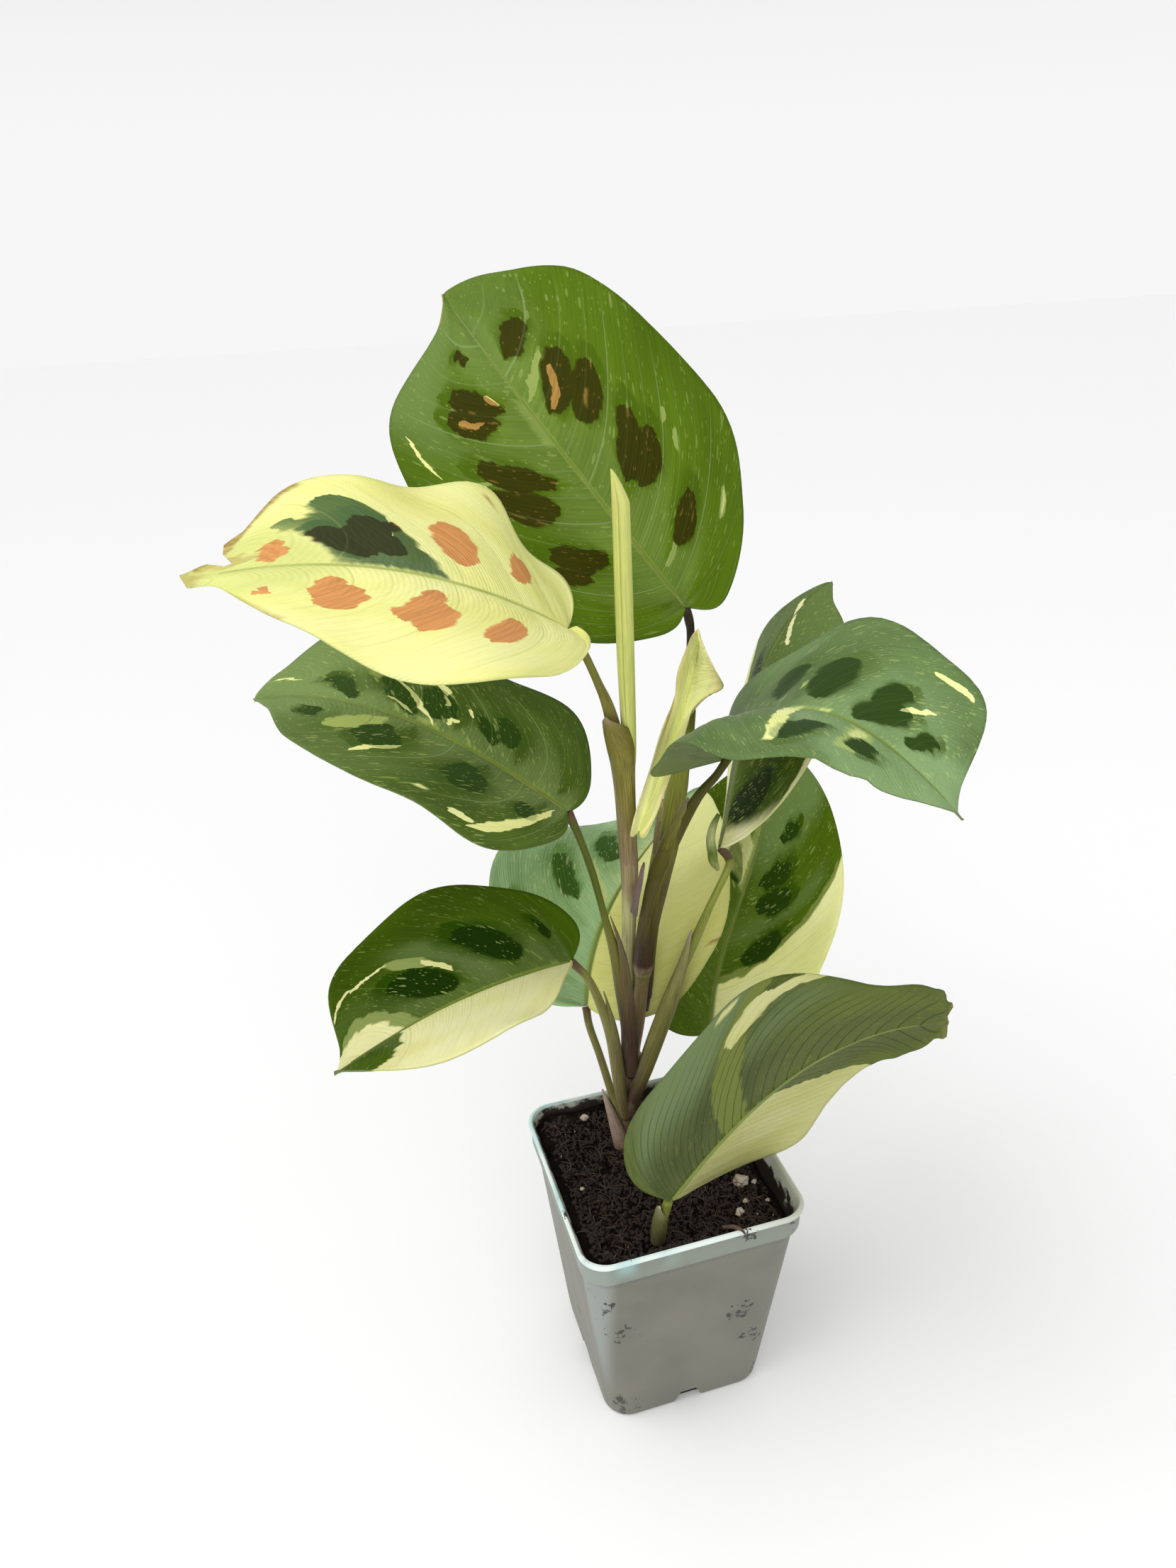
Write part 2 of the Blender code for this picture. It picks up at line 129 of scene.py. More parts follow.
class Tree:
    """Adds nodes to one tree and links them."""

    def __init__(self, tree):
        self.tree = tree

    def node(self, kind, inputs=(), **settings):
        """Add a node with its settings and feed its inputs, which go by name or number."""
        made = self.tree.nodes.new(kind)
        for key, value in settings.items():
            setattr(made, key, value)
        for key, value in dict(inputs).items():
            self.feed(made.inputs[key], value)
        return Outputs(self, made)

    def feed(self, socket, value):
        """Link a wire to a socket, or set the socket's own value."""
        if isinstance(value, Wire):
            self.tree.links.new(value.socket, socket)
        else:
            socket.default_value = value

    def value(self, operation, first, second=0.0, third=0.0):
        return self.node("ShaderNodeMath", enumerate((first, second, third)),
                         operation=operation)[0]

    def blend(self, share, first, second, mode="MIX"):
        return self.node("ShaderNodeMix", {"Factor": share, 6: first, 7: second},
                         data_type="RGBA", blend_type=mode)[2]

    def vector(self, x, y, z=0.0):
        return self.node("ShaderNodeCombineXYZ", enumerate((x, y, z)))[0]

    def shade(self, colour, *light):
        """A colour times one lightness, or times three."""
        return self.blend(1.0, colour, self.vector(*(light if len(light) == 3 else light * 3)),
                          "MULTIPLY")

    def noise(self, vector, scale, detail=2.0, roughness=0.5):
        return self.node("ShaderNodeTexNoise", {"Vector": vector, "Scale": scale,
                                                "Detail": detail, "Roughness": roughness})["Fac"]

    def group(self, name, **inputs):
        """Place one of the shared groups. An underscore stands for a space."""
        fed = {key.replace("_", " "): value for key, value in inputs.items()}
        return self.node("ShaderNodeGroup", fed, node_tree=GROUPS[name])

    def leave(self, **outputs):
        """Feed the outputs of the group that this tree belongs to."""
        self.node("NodeGroupOutput",
                  {key.replace("_", " "): value for key, value in outputs.items()})

    def paint(self, colour, roughness, height, strength, depth, gloss=0.5):
        """Feed the material's shader. Strength and depth, in metres, are those of its bumps."""
        shader = self.tree.nodes["Principled BSDF"]
        self.feed(shader.inputs["Base Color"], colour)
        self.feed(shader.inputs["Roughness"], roughness)
        shader.inputs["Specular IOR Level"].default_value = gloss
        bump = self.node("ShaderNodeBump",
                         {"Strength": strength, "Distance": depth, "Height": height})
        self.feed(shader.inputs["Normal"], bump[0])
        return shader


def new_group(name, inputs, outputs, sort="Shader"):
    """An empty node group and its inputs. Sockets are named in one line, those that aren't
    plain numbers with their kind after a colon."""
    GROUPS[name] = group = bpy.data.node_groups.new(name, f"{sort}NodeTree")
    for side, names in (("INPUT", inputs), ("OUTPUT", outputs)):
        for item in names.split(", "):
            label, _, kind = item.partition(":")
            group.interface.new_socket(label, in_out=side,
                                       socket_type=f"NodeSocket{kind or 'Float'}")
    tree = Tree(group)
    return tree, tree.node("NodeGroupInput")


def new_material(name):
    """A new material and its node tree."""
    material = bpy.data.materials.new(name)
    material.use_nodes = True
    return material, Tree(material.node_tree)


def rgb(colour):
    """A colour socket's value."""
    return (*colour, 1.0)


# Leaf skin

SIDE_VEINS = 14.0
VEIN_SWAY = 9.0
VEIN_WOBBLE = 0.25
VEIN_BEND = 2.04
FLECK_SORTS = ((75.0, 10.0, 0.34), (150.0, 30.0, 0.36), (34.0, 4.5, 0.24))
BURN_DARK = (0.30, 0.17, 0.04)
BURN_PALE = (0.50, 0.38, 0.12)
SHINE_TINT = (0.8, 0.9, 0.5)
GREEN_EDGE = 0.008
CREAM_EDGE = 0.006
PATCH_EDGE = 0.01
# Softness of the bands of painted light and shade.
PAINTED_SHADING_EDGE = 0.05
FRINGE_OUT = 0.04
FRINGE_WIDTH = 1.3
FRINGE_LENGTH = 1.25
FRINGE_EDGE = 0.6
UNDER_SHARE = 0.4


def leaf_map_group():
    """Place on a blade from its vein map, with a toothed copy of it for torn patch ends."""
    tree, given = new_group("leaf map", "Map:Vector, Teeth, Seed",
                            "Along, Across, Toothed Along, Toothed Across")
    along, across, _ = given["Map"].split()
    across = across.scaled(2.0, -1.0)
    slow = tree.noise(tree.vector(along * 16.0, across * 9.0, given["Seed"]), 1.0, 3.0)
    teeth = tree.noise(tree.vector(along * 60.0, across, given["Seed"]), 1.0, 2.0, 0.7)
    slow = (slow - 0.5) * 0.05
    teeth = (teeth - 0.5) * given["Teeth"]
    tree.leave(Along=along, Across=across, Toothed_Along=along + slow,
               Toothed_Across=across + teeth)


def leaf_patch_group():
    """One finger of a patch: pointed towards the midrib, blunt and soft at its outer end."""
    tree, given = new_group(
        "leaf patch", "Along, Across, Centre Along, Centre Across, Half Width, Half Length, Lean, "
        "Edge, Fullness", "Mask")
    side = (given["Across"] * given["Centre Across"]).above(0.0)
    outward = abs(given["Across"]) - abs(given["Centre Across"])
    drift = outward * given["Lean"]
    outward = outward / given["Half Length"]
    inner = outward.least(0.0)
    outer = outward.most(0.0) ** 3.5
    taper = (1.0 - inner.scaled(inner, outer)).most(0.0) ** given["Fullness"]
    width = given["Half Width"] * taper.most(0.001)
    along = abs(given["Along"] - drift - given["Centre Along"]) / width
    flank = along.ease(1.0 + given["Edge"], 1.0 - given["Edge"])
    tree.leave(Mask=flank * side)


def leaf_band_group():
    """A stretch between two side veins and two distances from the midrib. Lean bends it
    towards the tip as it goes outwards."""
    tree, given = new_group(
        "leaf band", "Along, Across, From Along, To Along, From Across, To Across, Lean, Edge",
        "Mask")
    across = given["Across"]
    along = given["Along"] - across * across * given["Lean"]
    sides = []
    for label, place, edge in (("Along", along, given["Edge"]),
                               ("Across", across, given["Edge"] * 3.0)):
        start, end = given[f"From {label}"], given[f"To {label}"]
        sides.append(place.ease(start - edge, start + edge) * place.ease(end + edge, end - edge))
    tree.leave(Mask=sides[0] * sides[1])


def leaf_vein_group():
    """Side veins of a blade, the fine veins between them and the pale feathers along them."""
    tree, given = new_group(
        "leaf veins", "Along, Across, Count, Bend, Left Shift, Right Shift, Even, Rib Width",
        "Line, Fine, Feather, Rib")
    along, even, left_shift = given["Along"], given["Even"], given["Left Shift"]
    off_rib = abs(given["Across"])
    right = given["Across"].below(0.0)
    sway = tree.value("SINE", along.scaled(VEIN_SWAY, right * 2.0))
    hump = off_rib * (1.4 - off_rib * even.scaled(-0.7, 1.0))
    place = (hump * VEIN_BEND).scaled(given["Bend"], along)
    shift = right.scaled(given["Right Shift"] - left_shift, left_shift)
    count = given["Count"] * (even + 1.0)
    turns = sway.scaled(VEIN_WOBBLE, place.scaled(count, shift * 3.0))
    near = turns.pingpong(0.5)
    main = (turns / 3.0).pingpong(0.5)
    fade = off_rib.ease(1.0, 0.7)
    fade = fade * main.ease(0.16, 0.1, even.scaled(0.65, 0.35), 1.0)
    line = near.ease(even.scaled(0.05, 0.045), 0.0) * fade
    fine = (turns * 6.0).pingpong(0.5) * 2.0
    reach = main.scaled(-1.7, 0.95)
    small = off_rib.ease(near.scaled(-0.75, 0.52), 0.02, 0.0, 0.35)
    feather = small.most(off_rib.ease(reach, 0.05))
    width = along.scaled(-0.028, 0.042) * given["Rib Width"]
    tree.leave(Line=line, Fine=fine, Feather=feather, Rib=off_rib.ease(width, width * 0.35))


def leaf_fleck_group():
    """Scattered pale flecks that lie along the side veins."""
    tree, given = new_group("leaf flecks", "Along, Across, Share, Seed", "Mask")
    total = 0.0
    for fine, long, size in FLECK_SORTS:
        spot = tree.vector(given["Along"] * fine, given["Across"] * long, given["Seed"])
        cells = tree.node("ShaderNodeTexVoronoi", {"Vector": spot, "Scale": 1.0}, feature="F1",
                          voronoi_dimensions="3D")
        chance = cells["Color"].split()
        size = chance[1].ease(0.0, 1.0, 0.5, 1.0) * size
        dot = cells["Distance"].ease(size, size * 0.75)
        total = tree.value("MAXIMUM", total, dot * chance[0].below(given["Share"]))
    tree.leave(Mask=total)


def leaf_skin_group():
    """Colour, roughness and height of a patched leaf from its masks, with bands of painted light
    and shade laid over it.
    """
    tree, given = new_group(
        "leaf skin",
        "Along, Across, Seed, Base:Color, Pale:Color, Margin:Color, Dark:Color, Blush:Color, "
        "Fringe:Color, Cream:Color, Tint:Color, Rib:Color, Line:Color, Patches, Fringes, Creams, "
        "Tints, Burns, Flecks, Feather, Lines, Veil:Color, Veils, Bend, Left Shift, Right Shift, "
        "Even, Rib Width, Cream Veils, Inner Flecks, Cream Lines",
        "Color:Color, Roughness, Height")
    along, across, seed = given["Along"], given["Across"], given["Seed"]
    creams, patches = given["Creams"], given["Patches"]
    off_rib = abs(across)
    veins = tree.group(
        "leaf veins", Along=along, Across=across, Count=SIDE_VEINS, Bend=given["Bend"],
        Left_Shift=given["Left Shift"], Right_Shift=given["Right Shift"], Even=given["Even"],
        Rib_Width=given["Rib Width"])
    clouds = tree.noise(tree.vector(along * 4.0, across * 2.0, seed), 1.0, 2.0)
    streaks = tree.noise(tree.vector(along * 130.0, across * 3.0, seed), 1.0, 3.0, 0.6)
    colour = tree.blend(veins["Feather"] * given["Feather"], given["Base"], given["Pale"])
    margin = (clouds - 0.5).scaled(0.9, off_rib)
    colour = tree.blend(margin.ease(0.45, 1.0), colour, given["Margin"])
    shade = clouds.ease(0.3, 0.7, 0.84, 1.16) * streaks.ease(0.3, 0.7, 0.9, 1.1)
    colour = tree.shade(colour, shade)
    # Painted light and shade: the shading bands lay a paler sheen colour, or a darker shade colour,
    # over parts of the blade.
    colour = tree.blend(given["Veils"], colour, given["Veil"])
    colour = tree.blend(given["Fringes"], colour, given["Fringe"])
    colour = tree.blend(given["Flecks"] * 0.5, colour, given["Tint"])
    colour = tree.blend(given["Tints"], colour, given["Tint"])
    streak = streaks.ease(0.35, 0.75, 1.02, 0.94) * clouds.ease(0.35, 0.75, 1.02, 0.92)
    yellow = streak * clouds.ease(0.3, 0.7, 1.1, 0.85)
    cream = tree.shade(given["Cream"], streak, streak, yellow)
    # The painted light and shade can cover the cream parts too.
    cream = tree.blend(given["Veils"] * given["Cream Veils"], cream, given["Veil"])
    colour = tree.blend(creams, colour, cream)
    patch = tree.blend(creams, given["Dark"], given["Blush"])
    patch = tree.blend(given["Flecks"] * given["Inner Flecks"], patch, given["Blush"])
    patch = tree.shade(patch, streaks.ease(0.3, 0.7, 0.85, 1.15))
    colour = tree.blend(patches, colour, patch)
    burn = tree.blend(streaks.ease(0.3, 0.7), rgb(BURN_DARK), rgb(BURN_PALE))
    colour = tree.blend(given["Burns"], colour, burn)
    lines = veins["Line"] * given["Lines"]
    lines = lines * creams.scaled(given["Cream Lines"] - 1.0, 1.0)
    lines = lines * patches.scaled(-0.8, 1.0)
    colour = tree.blend(lines, colour, given["Line"])
    colour = tree.blend(veins["Rib"] * 0.85, colour, given["Rib"])
    tree.leave(Color=colour, Roughness=clouds.scaled(0.1, streaks.scaled(0.18, 0.36)),
               Height=veins["Fine"].scaled(0.5, streaks) - veins["Line"])


def mask_of(tree, place, marks, edge, finger_edge=0.12, full=0.7):
    """The strongest of several marks at a place on the blade. A mark of five numbers is a
    finger. The others are bands, with their share and perhaps their own softness."""
    toothed = {"Along": place["Toothed Along"], "Across": place["Toothed Across"]}
    mask = 0.0
    for mark in marks:
        if len(mark) == 5:
            part = tree.group(
                "leaf patch", **toothed, Centre_Along=mark[0], Centre_Across=mark[1],
                Half_Width=mark[2], Half_Length=mark[3], Lean=mark[4], Edge=finger_edge,
                Fullness=full)["Mask"]
        else:
            part = tree.group(
                "leaf band", **toothed, From_Along=mark[0], To_Along=mark[1], From_Across=mark[2],
                To_Across=mark[3], Lean=mark[4],
                Edge=mark[6] if len(mark) == 7 else edge)["Mask"] * mark[5]
        mask = tree.value("MAXIMUM", mask, part)
    return mask


def leaf_material(name, look, under=False):
    """Material of one face of a leaf, from its own lists of marks."""
    material, tree = new_material(name)
    uv = tree.node("ShaderNodeUVMap", uv_map="veins")
    place = tree.group("leaf map", Map=uv[0], Teeth=look.teeth, Seed=look.seed)
    fringes = [(mark[0], mark[1] + math.copysign(FRINGE_OUT, mark[1]), mark[2] * FRINGE_WIDTH,
                mark[3] * FRINGE_LENGTH, mark[4]) for mark in look.patches if len(mark) == 5]
    greens = tree.value("SUBTRACT", 1.0, mask_of(tree, place, look.greens, GREEN_EDGE))
    creams = tree.value("MULTIPLY", mask_of(tree, place, look.creams, CREAM_EDGE), greens)
    flecks = tree.group("leaf flecks", Along=place["Along"], Across=place["Across"],
                        Share=look.flecks * (0.5 if under else 1.0), Seed=look.seed)["Mask"]
    patches = mask_of(tree, place, look.patches, PATCH_EDGE, look.soft, look.full)
    if under:
        patches = tree.value("MULTIPLY", patches, UNDER_SHARE)
    skin = tree.group(
        "leaf skin", Along=place["Along"], Across=place["Across"], Seed=look.seed,
        Patches=patches, Fringes=mask_of(tree, place, fringes, PATCH_EDGE, FRINGE_EDGE),
        Creams=creams, Tints=mask_of(tree, place, look.tints, CREAM_EDGE),
        Burns=mask_of(tree, place, look.burns, PATCH_EDGE), Flecks=flecks,
        Feather=0.25 if under else look.feather, Lines=0.8 if under else look.lines,
        # The shading bands are painted light and shade.
        Veils=mask_of(tree, place, look.veils, PAINTED_SHADING_EDGE), Bend=look.bend, Left_Shift=look.shift[0],
        Right_Shift=look.shift[1], Even=look.even, Rib_Width=look.rib,
        Cream_Veils=look.cream_veils, Inner_Flecks=look.inner, Cream_Lines=look.cream_lines,
        **{key: rgb(colour) for key, colour in (look.under if under else look.top).items()})
    shader = tree.paint(skin["Color"], skin["Roughness"], skin["Height"], strength=0.3,
                        depth=0.0005, gloss=look.gloss)
    shader.inputs["Specular Tint"].default_value = rgb(SHINE_TINT)
    return material


# Blades

STATIONS = np.array([0.06, 0.2, 0.4, 0.6, 0.8, 0.93])
ROW_LEAN = 0.62
LOBE_PEAK = 4.2
BLADE_ROWS = 72
BLADE_COLUMNS = 22
BLADE_THICKNESS = 0.45
FURTHEST_OUT = 1.15
Half = namedtuple("Half", "widths lobe fold curl")
Leaf = namedtuple("Leaf", "base tip rise sweep roll left right")
LEAVES = {
    "top": Leaf((18, 29, 247), (-31, 89, 324), (18, -17), (9, -9), (33, 53),
                Half((14, 33, 39, 39, 30, 6), 0.06, (10, 5), -4),
                Half((12, 31, 41, 38, 32, 14), 0.13, (1, 15), 2)),
    "cream": Leaf((-23, 1, 255), (-107, -13, 281), (27, -36), (12, -11), (27, 36),
                  Half((16, 26, 31, 27, 16, 4), -0.04, (26, -5), -20),
                  Half((17, 24, 30, 22, 20, 4), 0.2, (5, 4), 14)),
    "middle_left": Leaf((-23, 8, 202), (-98, 58, 226), (18, -27), (-2, 5), (4, 19),
                        Half((15, 29, 29, 26, 20, 6), 0.08, (8, 12), -15),
                        Half((16, 29, 27, 26, 22, 9), 0.07, (6, 23), 6)),
    "low_left": Leaf((-25, 4, 157), (-93, -24, 159), (-5, -2), (-24, 11), (-2, -1),
                     Half((14, 26, 31, 28, 19, 8), 0.0, (20, 4), 7),
                     Half((12, 26, 33, 30, 21, 4), 0.13, (20, 5), 35)),
    "rear": Leaf((-11, 39, 113), (40, 71, 168), (49, -29), (-2, 4), (-4, 19),
                 Half((19, 33, 42, 34, 22, 10), 0.05, (26, -19), 30),
                 Half((19, 33, 37, 34, 22, 10), 0.03, (9, -3), -44)),
    "rear_right": Leaf((32, 37, 92), (69, 83, 173), (-10, -25), (8, 11), (-41, -24),
                       Half((21, 30, 34, 31, 22, 10), 0.05, (15, 4), 4),
                       Half((21, 31, 34, 32, 23, 13), 0.09, (14, 10), 6)),
    "front": Leaf((-7, -27, 91), (81, -23, 129), (16, -24), (-14, 24), (65, 74),
                  Half((18, 32, 37, 29, 14, 13), 0.03, (12, -2), -24),
                  Half((19, 31, 33, 36, 19, 13), 0.06, (20, 2), 22)),
    "steep": Leaf((26, 20, 175), (76, 55, 240), (0, -34), (12, -6), (20, 12),
                  Half((9, 15, 20, 23, 20, 8), 0.03, (-40, -22), -12),
                  Half((16, 26, 30, 28, 22, 7), -0.01, (12, 5), -12)),
    "near_right": Leaf((23.5, 9, 210.5), (52, -57.5, 219.5), (50, -36), (-2, -3), (3, 4),
                       Half((20, 25, 30, 32, 24, 5), 0.13, (36, 9), 17),
                       Half((18, 28, 36, 30, 17, 6), 0.16, (27, 10), -48)),
    "young": Leaf((-1, 14, 189), (16, 15, 245), (9, 62), (-2, 0), (-52, -46),
                  Half((5, 6, 6, 5, 5, 3), 0.06, (66, 31), 28),
                  Half((3, 4, 4, 4, 12, 9), 0.06, (33, 35), -5)),
}


def half_width(station, widths):
    """Half width of a blade, smooth through its six stations, round at the base end and
    pointed at the tip. Stations go from 0 at the base to 1 at the tip."""
    knots = np.concatenate([[0.0], np.arccos(1 - 2 * STATIONS), [math.pi]])
    values = np.concatenate([[0.0], widths, [0.0]])
    slopes = np.zeros(len(knots))
    slopes[1:-1] = (values[2:] - values[:-2]) / (knots[2:] - knots[:-2])
    slopes[0] = values[1] / knots[1]
    angle = np.arccos(np.clip(1 - 2 * station, -1, 1))
    index = np.clip(np.searchsorted(knots, angle) - 1, 0, len(knots) - 2)
    span = knots[index + 1] - knots[index]
    u = (angle - knots[index]) / span
    start = values[index] * (1 + 2 * u) + slopes[index] * span * u
    end = values[index + 1] * (3 - 2 * u) - slopes[index + 1] * span * (1 - u)
    return start * (1 - u) ** 2 + end * u ** 2


def unit(vectors):
    """Vectors scaled to length one."""
    return vectors / np.linalg.norm(vectors, axis=-1, keepdims=True)


def midrib(leaf, along):
    """Places, headings and upward directions along a leaf's midrib."""
    base, tip = np.array(leaf.base, dtype=float), np.array(leaf.tip, dtype=float)
    chord = unit(tip - base)
    reach = np.linalg.norm(tip - base) / 3
    level = unit(np.array([0.0, 0.0, 1.0]) - chord[2] * chord)
    roll = math.radians(leaf.roll[0])
    up = level * math.cos(roll) + np.cross(level, chord) * math.sin(roll)
    side = np.cross(up, chord)
    lift = np.tan(np.radians(leaf.rise))
    bend = np.tan(np.radians(leaf.sweep))
    first = base + reach * (chord + lift[0] * up + bend[0] * side)
    second = tip - reach * (chord + lift[1] * up + bend[1] * side)
    x = along[..., None]
    rest = 1 - x
    place = (rest ** 3 * base + 3 * rest ** 2 * x * first + 3 * rest * x ** 2 * second
             + x ** 3 * tip)
    heading = unit(rest ** 2 * (first - base) + 2 * rest * x * (second - first)
                   + x ** 2 * (tip - second))
    normal = unit(up - np.sum(up * heading, axis=-1, keepdims=True) * heading)
    turn = np.radians((leaf.roll[1] - leaf.roll[0]) * along)[..., None]
    return place, heading, normal * np.cos(turn) + np.cross(normal, heading) * np.sin(turn)


def blade_point(leaf, row, out, side, look):
    """Points of a blade's middle surface and their place on the vein map. Trims shorten one
    side near a row, each by a share of its width."""
    half = leaf.left if side > 0 else leaf.right
    end = row ** ROW_LEAN
    for which, centre, reach, share in look.trims:
        if which == side:
            out = out * (1 - share * np.exp(-((row - centre) / reach) ** 2))
    behind = half.lobe * LOBE_PEAK * np.sqrt(end) * (1 - end) ** 3
    along = row + (end - behind - row) * out ** 1.8
    across = half_width(end, half.widths) * out ** 0.9
    place, heading, normal = midrib(leaf, along)
    outward = side * np.cross(normal, heading)
    fold = np.radians(half.fold[0] + (half.fold[1] - half.fold[0]) * along)
    rate = math.radians(half.curl) / max(half.widths)
    bent = fold + rate * across
    spread = (np.sin(bent) - np.sin(fold)) / rate
    height = (np.cos(fold) - np.cos(bent)) / rate
    near = np.minimum(out, FURTHEST_OUT)
    vein = np.sqrt(np.clip(along, 0, 1) ** (1 + 2.33 * (0.34 * near + 0.66 * near ** 3)))
    height = height + relief(vein, near, across, along, side, look)
    return place + outward * spread[..., None] + normal * height[..., None], vein, side * out


def relief(vein, out, across, along, side, look):
    """Swelling between side veins, the channel over the midrib and the wave of the margin."""
    right = 1.0 if side < 0 else 0.0
    bent = vein + look.bend * VEIN_BEND * out * (1.4 - out * (1 - 0.7 * look.even))
    turns = (SIDE_VEINS * (1 + look.even) * bent + 3.0 * look.shift[int(right)]
             + VEIN_WOBBLE * np.sin(VEIN_SWAY * vein + 2.0 * right))
    swell = 0.5 * (np.abs(np.sin(math.pi * turns)) ** 0.8 - 0.5)
    swell += look.ridge * (np.abs(np.sin(math.pi * turns / 3)) - 0.5)
    amount = np.clip(across / 5.0, 0, 1) * (1 - 0.7 * out ** 2)
    channel = -0.45 * np.exp(-(across / 0.9) ** 2)
    size, count, phase = look.wave
    ripple = size * out ** 3 * np.sin(2 * math.pi * (count * along + phase + 0.37 * right))
    return look.swell * swell * amount + channel + ripple


def mesh_from(name, points, faces, edges=()):
    """A mesh from points in millimetres."""
    mesh = bpy.data.meshes.new(name)
    mesh.from_pydata(np.asarray(points, dtype=float) * MM, edges, faces)
    return mesh


def write_map(mesh, name, spots):
    """Give each corner of each face its place on a map."""
    layer = mesh.uv_layers.new(name=name)
    for polygon, spot in zip(mesh.polygons, spots):
        for loop, place in zip(polygon.loop_indices, spot):
            layer.data[loop].uv = place


def link(name, mesh, *materials):
    """Put a mesh in the scene, shaded smooth."""
    mesh.shade_smooth()
    for material in materials:
        mesh.materials.append(material)
    thing = bpy.data.objects.new(name, mesh)
    bpy.context.scene.collection.objects.link(thing)
    return thing


def keep(thing):
    """Turn an object's modifiers into its mesh."""
    view = bpy.context.evaluated_depsgraph_get()
    mesh = bpy.data.meshes.new_from_object(thing.evaluated_get(view), depsgraph=view)
    mesh.name = thing.name
    thing.modifiers.clear()
    thing.data = mesh
    return thing


def solid(thing, thickness, under=False):
    """Give a surface an even thickness. Its underside may take the second material."""
    modifier = thing.modifiers.new("thickness", "SOLIDIFY")
    modifier.thickness = thickness * MM
    modifier.offset = 0.0
    if under:
        modifier.material_offset = 1
        modifier.material_offset_rim = 1
    return keep(thing)


def build_blade(name, leaf, look):
    """A leaf blade with its vein map and its two faces."""
    ends = (1 - np.cos(math.pi * np.arange(BLADE_ROWS + 1) / BLADE_ROWS)) / 2
    rows = (ends ** (1 / ROW_LEAN))[1:-1]
    outs = (np.arange(1, BLADE_COLUMNS + 1) / BLADE_COLUMNS) ** 1.15
    row_grid = np.repeat(rows[:, None], BLADE_COLUMNS, axis=1)
    out_grid = np.repeat(outs[None, :], len(rows), axis=0)
    right = blade_point(leaf, row_grid, out_grid, -1, look)
    left = blade_point(leaf, row_grid, out_grid, 1, look)
    centre = blade_point(leaf, rows, rows * 0, 1, look)
    points, veins, across = (np.concatenate([r[:, ::-1], c[:, None], l], axis=1)
                             for r, c, l in zip(right, centre, left))
    width = 2 * BLADE_COLUMNS + 1
    flat = [leaf.base, *points.reshape(-1, 3), leaf.tip]
    last = len(flat) - 1
    faces = []
    for column in range(width - 1):
        foot = last - width + column
        faces += [(0, 1 + column, 2 + column), (foot + 1, foot, last)]
    for row in range(len(rows) - 1):
        for a in range(1 + row * width, (row + 1) * width):
            faces.append((a + 1, a, a + width, a + 1 + width))
    mesh = mesh_from(f"blade {name}", flat, faces)
    grid = np.stack([veins, 0.5 + 0.5 * across], axis=-1).reshape(-1, 2)
    spots = []
    for face in faces:
        inside = [(v - 1) % width for v in face if 0 < v < last]
        middle = sum(grid[column, 1] for column in inside) / len(inside)
        spots.append([grid[v - 1] if 0 < v < last else (float(v == last), middle)
                      for v in face])
    write_map(mesh, "veins", spots)
    faces_of_leaf = [leaf_material(f"leaf {name} top", look),
                     leaf_material(f"leaf {name} under", look, under=True)]
    return solid(link(f"leaf_{name}", mesh, *faces_of_leaf), BLADE_THICKNESS, under=True)


# The shading bands are painted light and shade; the cream setting lets them cover the cream parts.
Look = namedtuple("Look", "top under flecks feather lines seed wave swell gloss bend shift full"
                  " soft teeth inner ridge rib even cream_veils cream_lines patches creams greens"
                  " tints burns veils trims",
                  defaults=(0.0, (0.0, 0.13), 0.7, 0.12, 0.06, 0.5, 0.6, 1.0, 0.0, 0.0, 0.3,
                            (), (), (), (), (), (), ()))


def palette(base, pale, margin, dark=(0.03, 0.03, 0.0), blush=(0.36, 0.42, 0.12),
            fringe=(0.055, 0.13, 0.0), cream=(0.78, 0.78, 0.33), tint=(0.33, 0.40, 0.10),
            rib=(0.20, 0.28, 0.03), line=(0.15, 0.23, 0.04), veil=(0.16, 0.22, 0.10)):
    """The colours of one face of a leaf. Its shading colour is painted light or painted shade for
    the shading bands.
    """
    return {"Base": base, "Pale": pale, "Margin": margin, "Dark": dark, "Blush": blush,
            "Fringe": fringe, "Cream": cream, "Tint": tint, "Rib": rib, "Line": line,
            "Veil": veil}


UNDER = palette((0.13, 0.17, 0.07), (0.16, 0.21, 0.1), (0.12, 0.17, 0.055), dark=(0.07, 0.1, 0.045),
                fringe=(0.11, 0.16, 0.05), cream=(0.52, 0.54, 0.23), tint=(0.36, 0.4, 0.15),
                rib=(0.22, 0.28, 0.02), line=(0.06, 0.085, 0.03))
CREAM_UNDER = palette((0.16, 0.22, 0.1), (0.2, 0.26, 0.12), (0.16, 0.22, 0.09),
                      dark=(0.08, 0.1, 0.05), blush=(0.55, 0.4, 0.16), cream=(0.62, 0.64, 0.25),
                      tint=(0.48, 0.52, 0.19), rib=(0.46, 0.52, 0.14), line=(0.4, 0.45, 0.12),
                      veil=(0.55, 0.58, 0.2))
